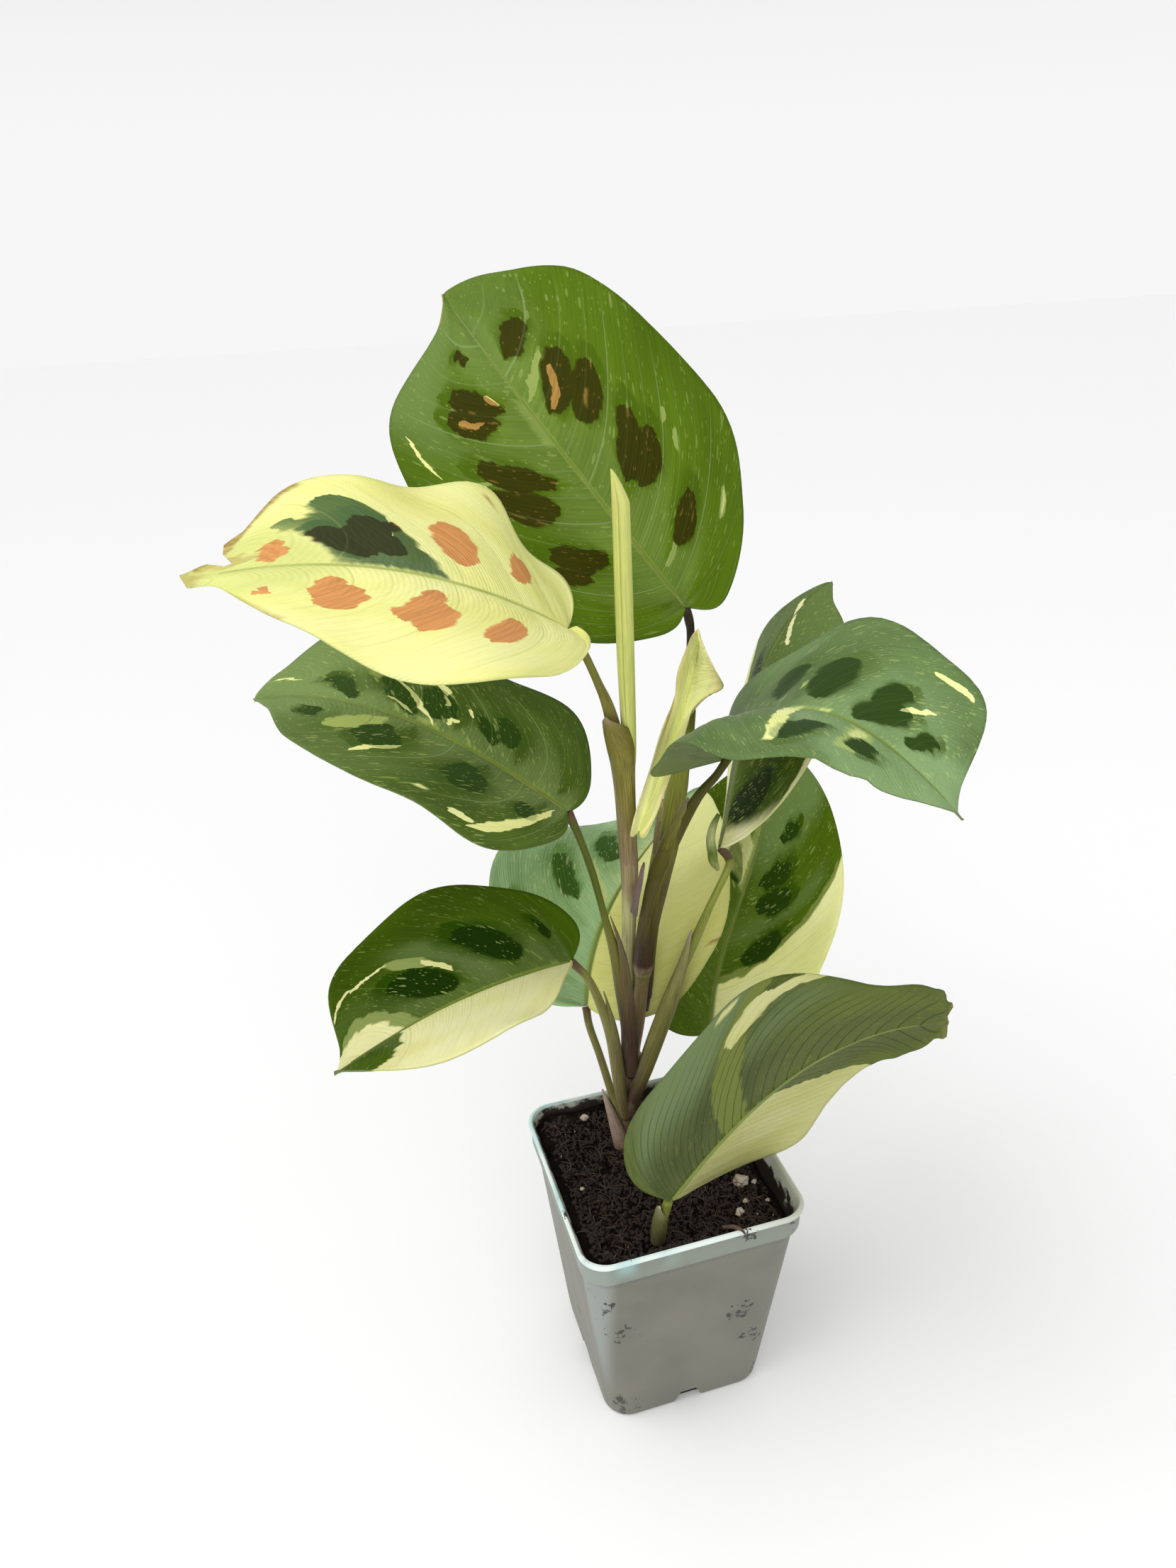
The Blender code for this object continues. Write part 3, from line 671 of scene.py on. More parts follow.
# Fingers are (along, across, half width, half length, lean). Bands are (from along, to along,
# from across, to across, lean, share) and perhaps softness. Across is negative on the right.
# Shadings are bands of painted light and shade: a paler shading colour is painted sheen or light, a
# darker one painted shade.
LOOKS = {
    "top": Look(
        palette((0.078, 0.137, 0.004), (0.115, 0.18, 0.028), (0.07, 0.128, 0.004),
                blush=(0.34, 0.19, 0.045), line=(0.19, 0.27, 0.09), tint=(0.25, 0.32, 0.08),
                veil=(0.15, 0.232, 0.058), fringe=(0.06, 0.112, 0.002)), UNDER,
        flecks=0.3, feather=0.9, lines=1.0, seed=0.3, wave=(1.1, 3.0, 0.1), swell=0.5, gloss=0.1,
        bend=0.01, shift=(-0.3, 0.08), full=0.9, inner=0.3, ridge=1.4, rib=0.7,
        patches=[(0.283, -0.35, 0.052, 0.16, -0.12), (0.465, -0.38, 0.045, 0.16, -0.1),
                 (0.528, -0.34, 0.046, 0.17, 0.02), (0.665, -0.36, 0.046, 0.17, -0.06),
                 (0.74, -0.26, 0.042, 0.18, 0.02), (0.853, -0.28, 0.028, 0.19, -0.03),
                 (0.328, 0.44, 0.036, 0.14, -0.28), (0.385, 0.35, 0.042, 0.17, -0.15),
                 (0.53, 0.4, 0.05, 0.18, -0.12), (0.612, 0.34, 0.037, 0.21, -0.05),
                 (0.738, 0.39, 0.036, 0.18, -0.06), (0.782, 0.32, 0.034, 0.19, -0.04),
                 (0.87, 0.33, 0.012, 0.12, -0.03)],
        creams=[(0.744, -0.21, 0.013, 0.1, 0.12), (0.575, 0.83, 0.015, 0.055, 0.9),
                (0.74, 0.4, 0.008, 0.09, -0.05), (0.8, 0.19, 0.009, 0.035, 0.0),
                (0.655, 0.662, -0.38, -0.3, 0.0, 0.7), (0.09, 0.108, -0.78, -0.7, 0.0, 0.5)],
        tints=[(0.792, -0.17, 0.01, 0.15, 0.03), (0.298, -0.15, 0.014, 0.1, 0.0),
               (0.1, -0.73, 0.02, 0.06, 0.0), (0.362, -0.6, 0.01, 0.045, 0.0),
               (0.405, -0.64, 0.009, 0.04, 0.0), (0.567, 0.56, 0.008, 0.06, -0.2),
               (0.7, 0.8, -0.012, 0.05, 0.0, 0.5), (0.64, 0.648, 0.25, 0.5, 0.0, 0.4)],
        burns=[(0.9, 1.1, 0.93, 1.1, 0.0, 0.5)],
        # Painted sheen towards the tip.
        veils=[(0.62, 1.1, 0.5, 1.3, 0.0, 0.75, 0.1), (0.84, 1.1, -1.2, 1.2, 0.0, 0.35, 0.06)]),
    "cream": Look(
        palette((0.1, 0.155, 0.045), (0.12, 0.19, 0.09), (0.085, 0.15, 0.05),
                dark=(0.035, 0.04, 0.014), blush=(0.62, 0.275, 0.09), fringe=(0.07, 0.13, 0.045),
                cream=(0.82, 0.82, 0.31), tint=(0.62, 0.64, 0.24), rib=(0.46, 0.54, 0.12),
                line=(0.46, 0.52, 0.12), veil=(0.58, 0.62, 0.2)), CREAM_UNDER,
        flecks=0.0, feather=0.5, lines=0.2, seed=2.2, wave=(2.0, 2.5, 0.3), swell=0.5, gloss=0.2,
        bend=0.09, shift=(0.1, 0.1), full=0.6, ridge=1.1, cream_veils=1.0, cream_lines=2.0,
        patches=[(0.418, 0.46, 0.045, 0.165, -0.12), (0.572, 0.47, 0.044, 0.16, -0.2),
                 (0.628, 0.37, 0.034, 0.21, -0.1), (0.745, 0.48, 0.036, 0.2, -0.13),
                 (0.788, 0.39, 0.022, 0.2, -0.1), (0.83, 0.73, 0.008, 0.12, -0.1),
                 (0.243, -0.4, 0.052, 0.16, -0.5), (0.485, -0.41, 0.06, 0.22, -0.25),
                 (0.885, -0.28, 0.018, 0.2, -0.07), (0.778, -0.27, 0.044, 0.17, 0.02),
                 (0.722, -0.32, 0.05, 0.24, -0.25), (0.655, -0.43, 0.026, 0.12, -0.45),
                 (0.695, -0.26, 0.032, 0.13, -0.2)],
        creams=[(-0.1, 1.1, -1.2, 1.2, 0.0, 1.0)],
        greens=[(0.632, 0.8, -0.62, -0.018, -0.115, 1.0), (0.7, 0.824, -0.58, -0.018, 0.0, 1.0),
                (0.667, -0.6, 0.072, 0.18, 0.0), (0.803, -0.6, 0.02, 0.11, 0.0)],
        tints=[(0.65, -0.42, 0.014, 0.2, -0.36)],
        burns=[(0.9, 0.96, -1.2, -0.25, 0.0, 0.5), (0.7, 0.9, 0.96, 1.2, 0.0, 0.5),
               (0.975, 1.1, -1.2, 1.2, 0.0, 0.4), (0.12, 0.135, -0.93, -0.87, 0.0, 1.0),
               (0.64, 0.86, -1.3, -0.955, 0.0, 0.9), (0.86, 0.96, -1.3, -0.9, 0.0, 0.9)],
        # Painted shade over the tip.
        veils=[(0.82, 1.1, -1.2, 1.2, 0.0, 0.7, 0.05)],
        trims=((-1, 0.853, 0.02, -0.12), (-1, 0.902, 0.014, 0.8), (1, 0.93, 0.05, 0.15))),
    "middle_left": Look(
        palette((0.054, 0.095, 0.008), (0.13, 0.19, 0.05), (0.068, 0.115, 0.016),
                dark=(0.018, 0.05, 0.002), fringe=(0.048, 0.09, 0.008), line=(0.2, 0.28, 0.09),
                blush=(0.42, 0.46, 0.16), veil=(0.18, 0.262, 0.08)), UNDER,
        flecks=0.35, feather=1.0, lines=0.9, seed=3.4, wave=(1.2, 2.0, 0.6), swell=0.45, gloss=0.2,
        bend=0.11, shift=(0.24, -0.5), full=0.65, teeth=0.05, inner=0.35, ridge=1.3,
        patches=[(0.195, 0.35, 0.046, 0.11, -0.45), (0.405, 0.38, 0.064, 0.18, -0.38),
                 (0.632, 0.46, 0.056, 0.17, -0.25), (0.685, 0.37, 0.028, 0.17, -0.1),
                 (0.838, 0.44, 0.026, 0.15, -0.05), (0.395, -0.36, 0.04, 0.15, -0.25),
                 (0.478, -0.27, 0.03, 0.12, -0.05), (0.613, -0.28, 0.044, 0.18, -0.2),
                 (0.712, -0.23, 0.038, 0.18, -0.05), (0.837, -0.19, 0.026, 0.15, 0.0)],
        creams=[(0.128, 0.5, 0.024, 0.38, -0.065), (0.15, 0.83, 0.025, 0.04, 0.0),
                (0.568, 0.6, 0.013, 0.17, -0.1), (0.277, 0.302, 0.78, 0.82, 0.0, 0.9),
                (0.677, -0.22, 0.011, 0.19, 0.1), (0.565, -0.47, 0.015, 0.06, 0.0),
                (0.515, -0.35, 0.008, 0.04, 0.0), (0.925, -0.58, 0.006, 0.18, 0.12),
                (0.6, -0.15, 0.008, 0.05, -0.3), (0.73, -0.12, 0.01, 0.05, 0.4),
                (0.585, -0.35, 0.006, 0.06, -0.2)],
        tints=[(0.742, 0.34, 0.036, 0.25, 0.0), (0.64, 0.7, -0.07, -0.02, 0.0, 0.6),
               (0.55, 0.58, -0.45, -0.36, 0.0, 0.7), (0.69, 0.76, -0.46, -0.36, 0.0, 0.5)],
        veils=[(0.8, 1.1, -1.2, 1.2, 0.0, 0.85, 0.08), (0.72, 1.1, -1.2, -0.38, 0.0, 0.8, 0.06),
               (0.3, 0.8, 0.62, 1.3, 0.1, 0.3, 0.08)]),
    "low_left": Look(
        palette((0.046, 0.088, 0.003), (0.1, 0.15, 0.035), (0.044, 0.084, 0.002),
                dark=(0.008, 0.028, 0.0), fringe=(0.022, 0.058, 0.0), cream=(0.77, 0.75, 0.38),
                tint=(0.25, 0.31, 0.09), veil=(0.12, 0.17, 0.05)), UNDER,
        flecks=0.28, feather=0.7, lines=0.4, seed=4.1, wave=(1.0, 2.0, 0.2), swell=0.4, gloss=0.08,
        shift=(0.1, 0.67), full=0.5, soft=0.1, ridge=0.8,
        patches=[(0.365, -0.36, 0.08, 0.22, -0.07), (0.655, -0.31, 0.074, 0.21, 0.03),
                 (0.1, -0.48, 0.028, 0.12, -0.15)],
        creams=[(-0.1, 0.845, 0.0, 1.2, 0.035, 1.0), (0.561, -0.38, 0.012, 0.13, -0.05),
                (0.832, 1.1, -1.2, -0.0, 0.085, 1.0), (0.652, -0.725, 0.022, 0.05, 1.3),
                (0.745, -0.86, 0.012, 0.12, 0.5)],
        tints=[(0.786, 0.84, -0.9, -0.01, 0.105, 0.95), (0.575, -0.55, 0.033, 0.15, 0.08),
               (0.19, 0.25, -0.05, 0.0, 0.0, 0.5), (0.274, 0.284, -0.2, -0.08, 0.0, 0.5)],
        veils=[(0.46, 0.56, -0.72, -0.02, 0.0, 0.75, 0.04),
               (0.72, 0.8, -1.0, -0.02, 0.08, 0.25, 0.04),
               (0.17, 0.27, -0.4, -0.02, 0.0, 0.45, 0.05)]),
    "rear": Look(
        # The greens are raised and bluish: partly the leaf's own paler green, partly painted sheen
        # from the sky.
        palette((0.2, 0.325, 0.125), (0.3, 0.46, 0.22), (0.29, 0.45, 0.22),
                dark=(0.032, 0.085, 0.006), fringe=(0.11, 0.22, 0.05), blush=(0.42, 0.5, 0.22),
                cream=(0.66, 0.655, 0.225), tint=(0.5, 0.54, 0.22), line=(0.3, 0.42, 0.16),
                veil=(0.98, 1.0, 0.42)), UNDER,
        flecks=0.45, feather=0.7, lines=0.5, seed=5.3, wave=(0.8, 2.0, 0.4), swell=0.4, gloss=0.2,
        bend=0.06, shift=(0.2, 0.2), full=0.6, soft=0.2, cream_veils=1.0,
        patches=[(0.495, 0.47, 0.042, 0.22, -0.15), (0.683, 0.44, 0.04, 0.23, -0.15),
                 (0.253, 0.65, 0.03, 0.08, -0.4)],
        creams=[(-0.1, 1.2, -1.2, 0.0, 0.0, 1.0), (0.6, 0.63, 0.02, 0.4, 0.0, 0.5),
                (0.25, 0.27, 0.2, 0.5, 0.0, 0.5)],
        burns=[(0.245, 0.272, -1.2, -0.93, 0.0, 1.0)],
        # Painted light: a bright band over the cream half towards the tip, where light comes
        # through it.
        veils=[(0.66, 1.1, -1.2, 0.0, 0.0, 0.8, 0.08)]),
    "rear_right": Look(
        palette((0.074, 0.134, 0.003), (0.1, 0.162, 0.018), (0.076, 0.134, 0.002),
                dark=(0.018, 0.05, 0.0), fringe=(0.04, 0.09, 0.0), cream=(0.98, 0.98, 0.44),
                veil=(0.17, 0.26, 0.08)), UNDER,
        flecks=0.35, feather=0.5, lines=0.6, seed=6.7, wave=(0.8, 2.0, 0.8), swell=0.4, gloss=0.1,
        shift=(0.1, 0.35), full=0.6, soft=0.16,
        patches=[(0.475, -0.32, 0.05, 0.17, -0.05), (0.628, -0.31, 0.034, 0.17, -0.12),
                 (0.705, -0.27, 0.034, 0.16, -0.05), (0.797, -0.38, 0.023, 0.14, -0.05),
                 (0.724, 0.21, 0.035, 0.15, 0.11)],
        creams=[(-0.1, 0.395, -1.2, 0.0, 0.14, 1.0), (0.7, 0.8, 0.05, 0.4, 0.0, 0.45)],
        tints=[(0.37, 0.43, -0.95, -0.02, 0.13, 0.6), (0.69, 0.85, 0.0, 0.1, 0.0, 0.6)],
        veils=[(0.76, 1.1, -1.2, 0.1, 0.0, 0.75, 0.05), (0.54, 0.6, -0.8, 0.0, 0.0, 0.4, 0.03)]),
    "front": Look(
        UNDER,
        palette((0.065, 0.085, 0.025), (0.086, 0.11, 0.036), (0.078, 0.104, 0.02),
                dark=(0.075, 0.105, 0.012), cream=(0.5, 0.5, 0.21), tint=(0.14, 0.172, 0.036),
                rib=(0.15, 0.2, 0.012), line=(0.028, 0.04, 0.014), veil=(0.155, 0.215, 0.1)),
        flecks=0.7, feather=0.2, lines=1.0, seed=7.9, wave=(1.2, 2.0, 0.0), swell=0.35, gloss=0.15,
        bend=-0.01, full=0.5, ridge=0.8, rib=0.5, even=1.0,
        creams=[(-0.1, 0.645, 0.0, 1.2, 0.02, 1.0), (0.435, -0.77, 0.05, 0.14, 0.02),
                (0.475, -0.92, 0.03, 0.16, 0.3), (0.27, 0.32, -0.98, -0.93, 0.0, 1.0)],
        tints=[(0.48, -0.33, 0.052, 0.75, -0.16), (0.62, 1.1, -3.0, 3.0, 0.0, 0.28, 0.1)],
        burns=[(0.993, 1.1, -3.0, 3.0, 0.0, 0.2)],
        veils=[(0.05, 0.36, -1.2, -0.55, 0.0, 0.75, 0.07),
               (0.5, 0.6, -0.95, -0.45, 0.0, 0.4, 0.05)],
        trims=((-1, 0.952, 0.03, -0.22), (-1, 0.99, 0.013, -1.0), (1, 0.992, 0.014, -1.9),
               (1, 0.875, 0.06, 0.15))),
    "steep": Look(
        palette((0.05, 0.086, 0.001), (0.085, 0.135, 0.018), (0.054, 0.093, 0.001),
                dark=(0.009, 0.024, 0.0), fringe=(0.03, 0.06, 0.0), blush=(0.3, 0.36, 0.08),
                cream=(0.86, 0.84, 0.46), veil=(0.125, 0.195, 0.052)), UNDER,
        flecks=0.5, feather=0.5, lines=0.4, seed=8.6, wave=(1.0, 2.0, 0.5), swell=0.4, gloss=0.1,
        shift=(0.0, 0.0), full=0.6, soft=0.16, inner=0.7,
        patches=[(0.315, -0.28, 0.095, 0.26, -0.1), (0.72, 0.18, 0.06, 0.16, 0.0),
                 (0.745, -0.1, 0.02, 0.08, 0.0)],
        creams=[(-0.3, -0.45, 0.45, 2.0, -0.23), (-0.1, 0.5, -1.2, -0.93, 0.0, 1.0),
                (0.868, -0.11, 0.019, 0.12, -0.5), (0.925, 0.14, 0.012, 0.24, 0.02),
                (-0.1, 0.63, 0.35, 1.2, 0.0, 1.0)],
        tints=[(0.375, -0.17, 0.025, 0.05, -0.4), (0.345, -0.26, 0.018, 0.04, -0.3),
               (0.3, -0.2, 0.012, 0.03, 0.0), (0.325, -0.36, 0.014, 0.03, 0.0)],
        veils=[(0.6, 1.1, -1.2, 0.0, 0.0, 0.9, 0.08), (0.6, 1.1, 0.0, 1.2, 0.0, 0.6, 0.08)]),
    "near_right": Look(
        # The bluish greens are partly the leaf's own colour and partly painted sheen from the sky.
        palette((0.104, 0.172, 0.052), (0.138, 0.212, 0.074), (0.113, 0.185, 0.06),
                dark=(0.017, 0.047, 0.003), fringe=(0.08, 0.14, 0.032), line=(0.19, 0.28, 0.11),
                cream=(0.82, 0.86, 0.36), tint=(0.36, 0.46, 0.14), blush=(0.42, 0.48, 0.2),
                veil=(0.225, 0.345, 0.15)), UNDER,
        flecks=0.42, feather=0.8, lines=0.7, seed=9.2, wave=(1.7, 2.5, 0.25), swell=0.45,
        gloss=0.25, bend=0.06, shift=(0.15, 0.0), full=0.5, soft=0.24, teeth=0.03, inner=0.0,
        ridge=1.4,
        patches=[(0.322, 0.42, 0.062, 0.19, -0.33), (0.52, 0.34, 0.066, 0.22, -0.28),
                 (0.69, 0.38, 0.038, 0.16, -0.2), (0.745, 0.22, 0.044, 0.18, 0.02),
                 (0.843, 0.31, 0.02, 0.19, -0.05), (0.558, -0.58, 0.048, 0.2, -0.48),
                 (0.748, -0.5, 0.04, 0.17, -0.22)],
        creams=[(0.564, 0.604, -0.8, -0.02, -0.245, 1.0, 0.005), (0.602, 0.875, 0.044, 0.058, 0.8),
                (0.741, 0.46, 0.009, 0.13, -0.03), (0.76, 0.79, -0.4, -0.14, -0.22, 0.55, 0.006),
                (0.51, 0.58, -0.045, 0.03, 0.0, 0.95, 0.008), (0.64, 0.68, 0.0, 0.03, 0.0, 0.8)],
        tints=[(0.748, 0.806, -0.72, -0.08, -0.22, 0.9, 0.008), (0.58, 0.68, 0.0, 0.04, 0.0, 0.6),
               (0.29, 0.4, 0.014, 0.05, -0.2), (0.465, 0.28, 0.012, 0.05, -0.2)],
        veils=[(0.57, 1.1, -1.2, 0.75, 0.0, 0.5, 0.08), (0.57, 0.86, -1.2, 0.0, 0.0, 0.75, 0.06),
               (0.83, 1.1, -1.2, 1.2, 0.0, 0.85, 0.05)],
        trims=((-1, 0.555, 0.02, 0.03), (-1, 0.7, 0.03, 0.05), (-1, 1.0, 0.03, 0.5),
               (1, 1.0, 0.03, 0.5))),
    "young": Look(
        # The near-white yellows are partly the young leaf's own pale colour and partly painted
        # light, standing in for light shining through it.
        palette((0.9, 0.92, 0.42), (0.92, 0.94, 0.44), (0.9, 0.8, 0.36), tint=(0.95, 0.98, 0.4),
                rib=(0.8, 0.86, 0.35), line=(0.75, 0.8, 0.3)),
        palette((0.8, 0.86, 0.32), (0.84, 0.88, 0.36), (0.8, 0.72, 0.32), tint=(0.9, 0.94, 0.38),
                rib=(0.7, 0.76, 0.3), line=(0.64, 0.7, 0.22)),
        flecks=0.0, feather=0.4, lines=0.4, seed=10.5, wave=(1.0, 3.0, 0.0), swell=0.4, gloss=0.15,
        tints=[(0.5, 0.75, -0.8, 0.2, 0.0, 0.4)],
        burns=[(0.3, 0.45, 0.86, 1.2, 0.0, 0.5), (0.52, 0.56, 0.3, 0.5, 0.0, 0.3)]),
}

# Stems. Each point of a path is a place and a radius.

STALK_PATHS = {
    "top": [
        (1.0, 17.2, 124.0, 1.5), (3.3, 20.4, 134.0, 1.8), (3.7, 21.3, 142.0, 2.1),
        (5.9, 22.6, 160.0, 2.3), (8.4, 23.4, 171.0, 2.5), (10.9, 24.5, 180.0, 2.7),
        (13.6, 26.0, 189.5, 2.8), (15.8, 27.0, 196.5, 2.6), (18.2, 28.5, 208.6, 2.4),
        (19.4, 29.4, 219.5, 2.1), (19.8, 29.8, 230.6, 1.2), (19.7, 29.2, 239.2, 1.1),
        (19.0, 28.8, 243.3, 1.3), (18.2, 28.9, 246.6, 1.2)],
    "cream": [
        (-2.2, 16.6, 108.0, 1.6), (-2.8, 20.5, 119.0, 2.0), (-2.7, 20.4, 141.0, 2.1),
        (-2.6, 19.3, 155.5, 2.1), (-2.6, 18.4, 168.7, 2.4), (-3.2, 17.8, 185.0, 2.3),
        (-4.2, 17.4, 200.0, 2.4), (-6.4, 16.4, 216.0, 2.2), (-9.0, 14.5, 227.0, 1.6),
        (-12.8, 10.8, 236.0, 1.1), (-18.0, 5.5, 247.0, 1.0), (-22.7, 1.2, 254.4, 1.2)],
    "middle_left": [
        (-4.4, 13.6, 103.0, 1.7), (-6.3, 11.3, 113.0, 1.9), (-6.5, 10.9, 125.0, 2.0),
        (-8.6, 10.0, 140.0, 1.8), (-10.5, 9.0, 153.0, 1.5), (-13.5, 8.5, 167.0, 1.0),
        (-16.5, 8.0, 181.0, 1.0), (-20.0, 8.0, 193.5, 1.0), (-22.8, 8.0, 201.6, 1.3)],
    "low_left": [
        (-5.4, 14.2, 82.0, 1.4), (-8.0, 12.1, 93.0, 1.5), (-9.9, 10.9, 106.0, 1.6),
        (-12.2, 9.2, 123.6, 1.6), (-16.0, 7.0, 138.4, 1.3), (-20.0, 5.0, 149.5, 1.1),
        (-24.6, 4.0, 156.7, 1.2)],
    "rear": [
        (-4.6, 16.6, 78.0, 1.3), (-6.3, 20.3, 84.0, 1.3), (-7.7, 24.0, 88.0, 1.3),
        (-9.7, 30.0, 99.3, 1.2), (-11.2, 35.6, 107.2, 1.2), (-11.2, 38.8, 112.6, 1.3)],
    "rear_right": [
        (-1.1, 18.4, 76.8, 1.4), (8.0, 24.0, 79.6, 1.3), (18.0, 29.0, 82.0, 1.2),
        (27.0, 33.4, 85.4, 1.2), (31.8, 36.7, 91.6, 1.3)],
    "steep": [
        (-4.4, 13.2, 85.0, 1.5), (-5.2, 9.8, 96.0, 1.7), (-1.1, 10.0, 110.4, 1.8),
        (3.3, 10.6, 122.8, 1.8), (9.6, 12.0, 137.0, 1.6), (15.9, 13.5, 148.6, 1.4),
        (21.4, 15.0, 159.0, 1.1), (27.4, 17.2, 168.6, 1.1), (28.4, 18.4, 171.6, 1.3),
        (26.2, 19.9, 174.8, 1.2)],
    "near_right": [
        (0.6, 16.5, 140.1, 2.5), (0.5, 16.1, 143.5, 2.4), (0.8, 13.6, 154.0, 2.5),
        (2.4, 12.0, 168.5, 2.7), (4.8, 11.0, 179.6, 2.6), (8.2, 10.5, 187.3, 2.1),
        (14.3, 9.2, 199.0, 1.4), (19.4, 8.4, 205.2, 1.1), (23.1, 8.8, 210.0, 1.2)],
    "front": [
        (-8.3, -22.0, 66.0, 1.8), (-8.2, -22.2, 70.0, 1.8), (-7.9, -23.4, 80.0, 1.7),
        (-7.2, -26.6, 90.4, 1.3)],
    "young": [
        (6.6, 21.8, 176.0, 0.9), (7.3, 21.9, 182.0, 1.1), (7.2, 19.6, 188.5, 1.1),
        (6.2, 16.2, 193.4, 1.0), (5.1, 13.2, 197.6, 0.9)],
}
CANE_PATH = [
    (-4.5, 15.0, 64.0, 3.8), (-4.3, 15.0, 72.0, 3.8), (-4.1, 15.0, 84.0, 3.5),
    (-3.7, 15.0, 97.0, 2.7), (-3.8, 15.0, 107.0, 2.5), (-3.7, 15.0, 109.5, 3.0),
    (-3.4, 15.1, 112.0, 2.3), (-1.6, 15.5, 121.0, 2.1), (-0.3, 16.1, 131.0, 2.1),
    (0.4, 16.4, 136.5, 2.2), (0.6, 16.5, 139.3, 2.7), (0.7, 16.5, 141.0, 2.2),
]
ROLLED_PATH = [
    (-3.0, 15.6, 207.0, 1.5), (-3.3, 14.6, 216.0, 1.9), (-4.7, 12.2, 240.0, 2.3),
    (-5.4, 11.2, 262.0, 2.35), (-6.3, 10.1, 289.8, 2.15),
]
ROLL_TURNS = 1.42
ROLL_START = 0.9
ROLL_LAP = 0.24
ROLL_POINT_SIDE = np.array([-0.96, 0.28, 0.0])
ROLL_POINT_START = 0.93
ROLL_THICKNESS = 0.28


def smooth_path(path, steps):
    """Points of a smooth curve through a path, with the radius carried along."""
    known = np.array(path, dtype=float)
    known = np.vstack([2 * known[0] - known[1], known, 2 * known[-1] - known[-2]])
    result = []
    for index in range(1, len(known) - 2):
        p0, p1, p2, p3 = known[index - 1:index + 3]
        for step in range(steps):
            t = step / steps
            result.append(0.5 * (2 * p1 + (p2 - p0) * t + (2 * p0 - 5 * p1 + 4 * p2 - p3) * t ** 2
                                 + (3 * p1 - p0 - 3 * p2 + p3) * t ** 3))
    return np.array([*result, known[-2]])


def carried_frames(places):
    """Headings and two side directions along a path, without sudden turns."""
    headings = unit(np.gradient(places, axis=0))
    sides = [unit(np.cross(headings[0], (0.0, 1.0, 0.0)))]
    for heading in headings[1:]:
        sides.append(unit(sides[-1] - np.dot(sides[-1], heading) * heading))
    sides = np.array(sides)
    return headings, sides, np.cross(headings, sides)


def rings_round(places, radii, angles, across, over):
    """Rings of points round a path, turned from one side direction towards the other."""
    return places[:, None] + radii[..., None] * (np.cos(angles)[..., None] * across[:, None]
                                                  + np.sin(angles)[..., None] * over[:, None])


def sweep(name, path, steps, sides, ridges, depth):
    """A closed round stem along a path, with fine ridges along it and a map of its length."""
    curve = smooth_path(path, steps)
    places, radii = curve[:, :3], curve[:, 3]
    _, across, over = carried_frames(places)
    angles = 2 * math.pi * np.arange(sides) / sides
    bump = 1 + depth * np.cos(ridges * angles)
    rings = rings_round(places, radii[:, None] * bump[None, :], angles, across, over)
    last = len(rings) - 1
    points = [*rings.reshape(-1, 3), places[0], places[-1]]
    faces, spots = [], []
    for ring in range(last):
        for side in range(sides):
            after = (side + 1) % sides
            low = ring * sides
            faces.append((low + side, low + after, low + sides + after, low + sides + side))
            a, b = ring / last, (ring + 1) / last
            c, d = side / sides, (side + 1) / sides
            spots.append([(a, c), (a, d), (b, d), (b, c)])
    top = last * sides
    for side in range(sides):
        after = (side + 1) % sides
        faces += [(after, side, len(points) - 2), (top + side, top + after, len(points) - 1)]
        spots += [[(0.0, 0.5)] * 3, [(1.0, 0.5)] * 3]
    mesh = mesh_from(name, points, faces)
    write_map(mesh, "length", spots)
    return mesh


def sheet(name, rings, corners=(0, 1, 2, 3)):
    """A sheet through rings of points, with a map of its length and width. Corners give the
    order of each face's corners, and so the side that it faces."""
    last, width = len(rings) - 1, rings.shape[1]
    faces, spots = [], []
    for ring in range(last):
        for step in range(width - 1):
            a = ring * width + step
            face = (a, a + 1, a + width + 1, a + width)
            low, high = ring / last, (ring + 1) / last
            left, right = step / (width - 1), (step + 1) / (width - 1)
            spot = ((low, left), (low, right), (high, right), (high, left))
            faces.append([face[corner] for corner in corners])
            spots.append([spot[corner] for corner in corners])
    mesh = mesh_from(name, rings.reshape(-1, 3), faces)
    write_map(mesh, "length", spots)
    return mesh


def wrap(name, rows, material, thickness=0.3, around=20):
    """A thin sheath round a stem, open on one side. Each row gives a place, a radius, the
    bearing that its middle faces in degrees and how far it reaches round to both sides."""
    curve = smooth_path(rows, 6)
    places, radii = curve[:, :3], curve[:, 3]
    bearing, reach = np.radians(curve[:, 4]), np.radians(np.clip(curve[:, 5], 4.0, 176.0))
    headings, _, _ = carried_frames(places)
    facing = np.stack([np.cos(bearing), np.sin(bearing), bearing * 0], axis=1)
    facing = unit(facing - np.sum(facing * headings, axis=1, keepdims=True) * headings)
    angles = reach[:, None] * np.linspace(-1.0, 1.0, around + 1)[None, :]
    rings = rings_round(places, radii[:, None], angles, facing, np.cross(headings, facing))
    return solid(link(name.replace(" ", "_"), sheet(name, rings), material), thickness)


def stem_skin_group():
    """Fine lines along a stem, with blotches of a second colour."""
    tree, given = new_group("stem skin", "Map:Vector, Colour:Color, Lines, Contrast, Mottle, Seed",
                            "Color:Color, Roughness, Height")
    along, round_it, _ = given["Map"].split()
    around = round_it * given["Lines"]
    lines = tree.noise(tree.vector(along * 3.0, around, given["Seed"]), 2.0, 2.0, 0.6)
    cloud = tree.noise(tree.vector(along * 9.0, round_it * 3.0, given["Seed"]), 2.0)
    shade = lines.ease(0.32, 0.62, -0.36, 0.16).scaled(given["Contrast"], 1.0)
    colour = tree.shade(given["Colour"], shade)
    mottle = cloud.ease(0.45, 0.7, 0.0, given["Mottle"])
    tree.leave(Color=tree.blend(mottle, colour, rgb(MOTTLE)), Roughness=lines.scaled(0.2, 0.32),
               Height=lines)


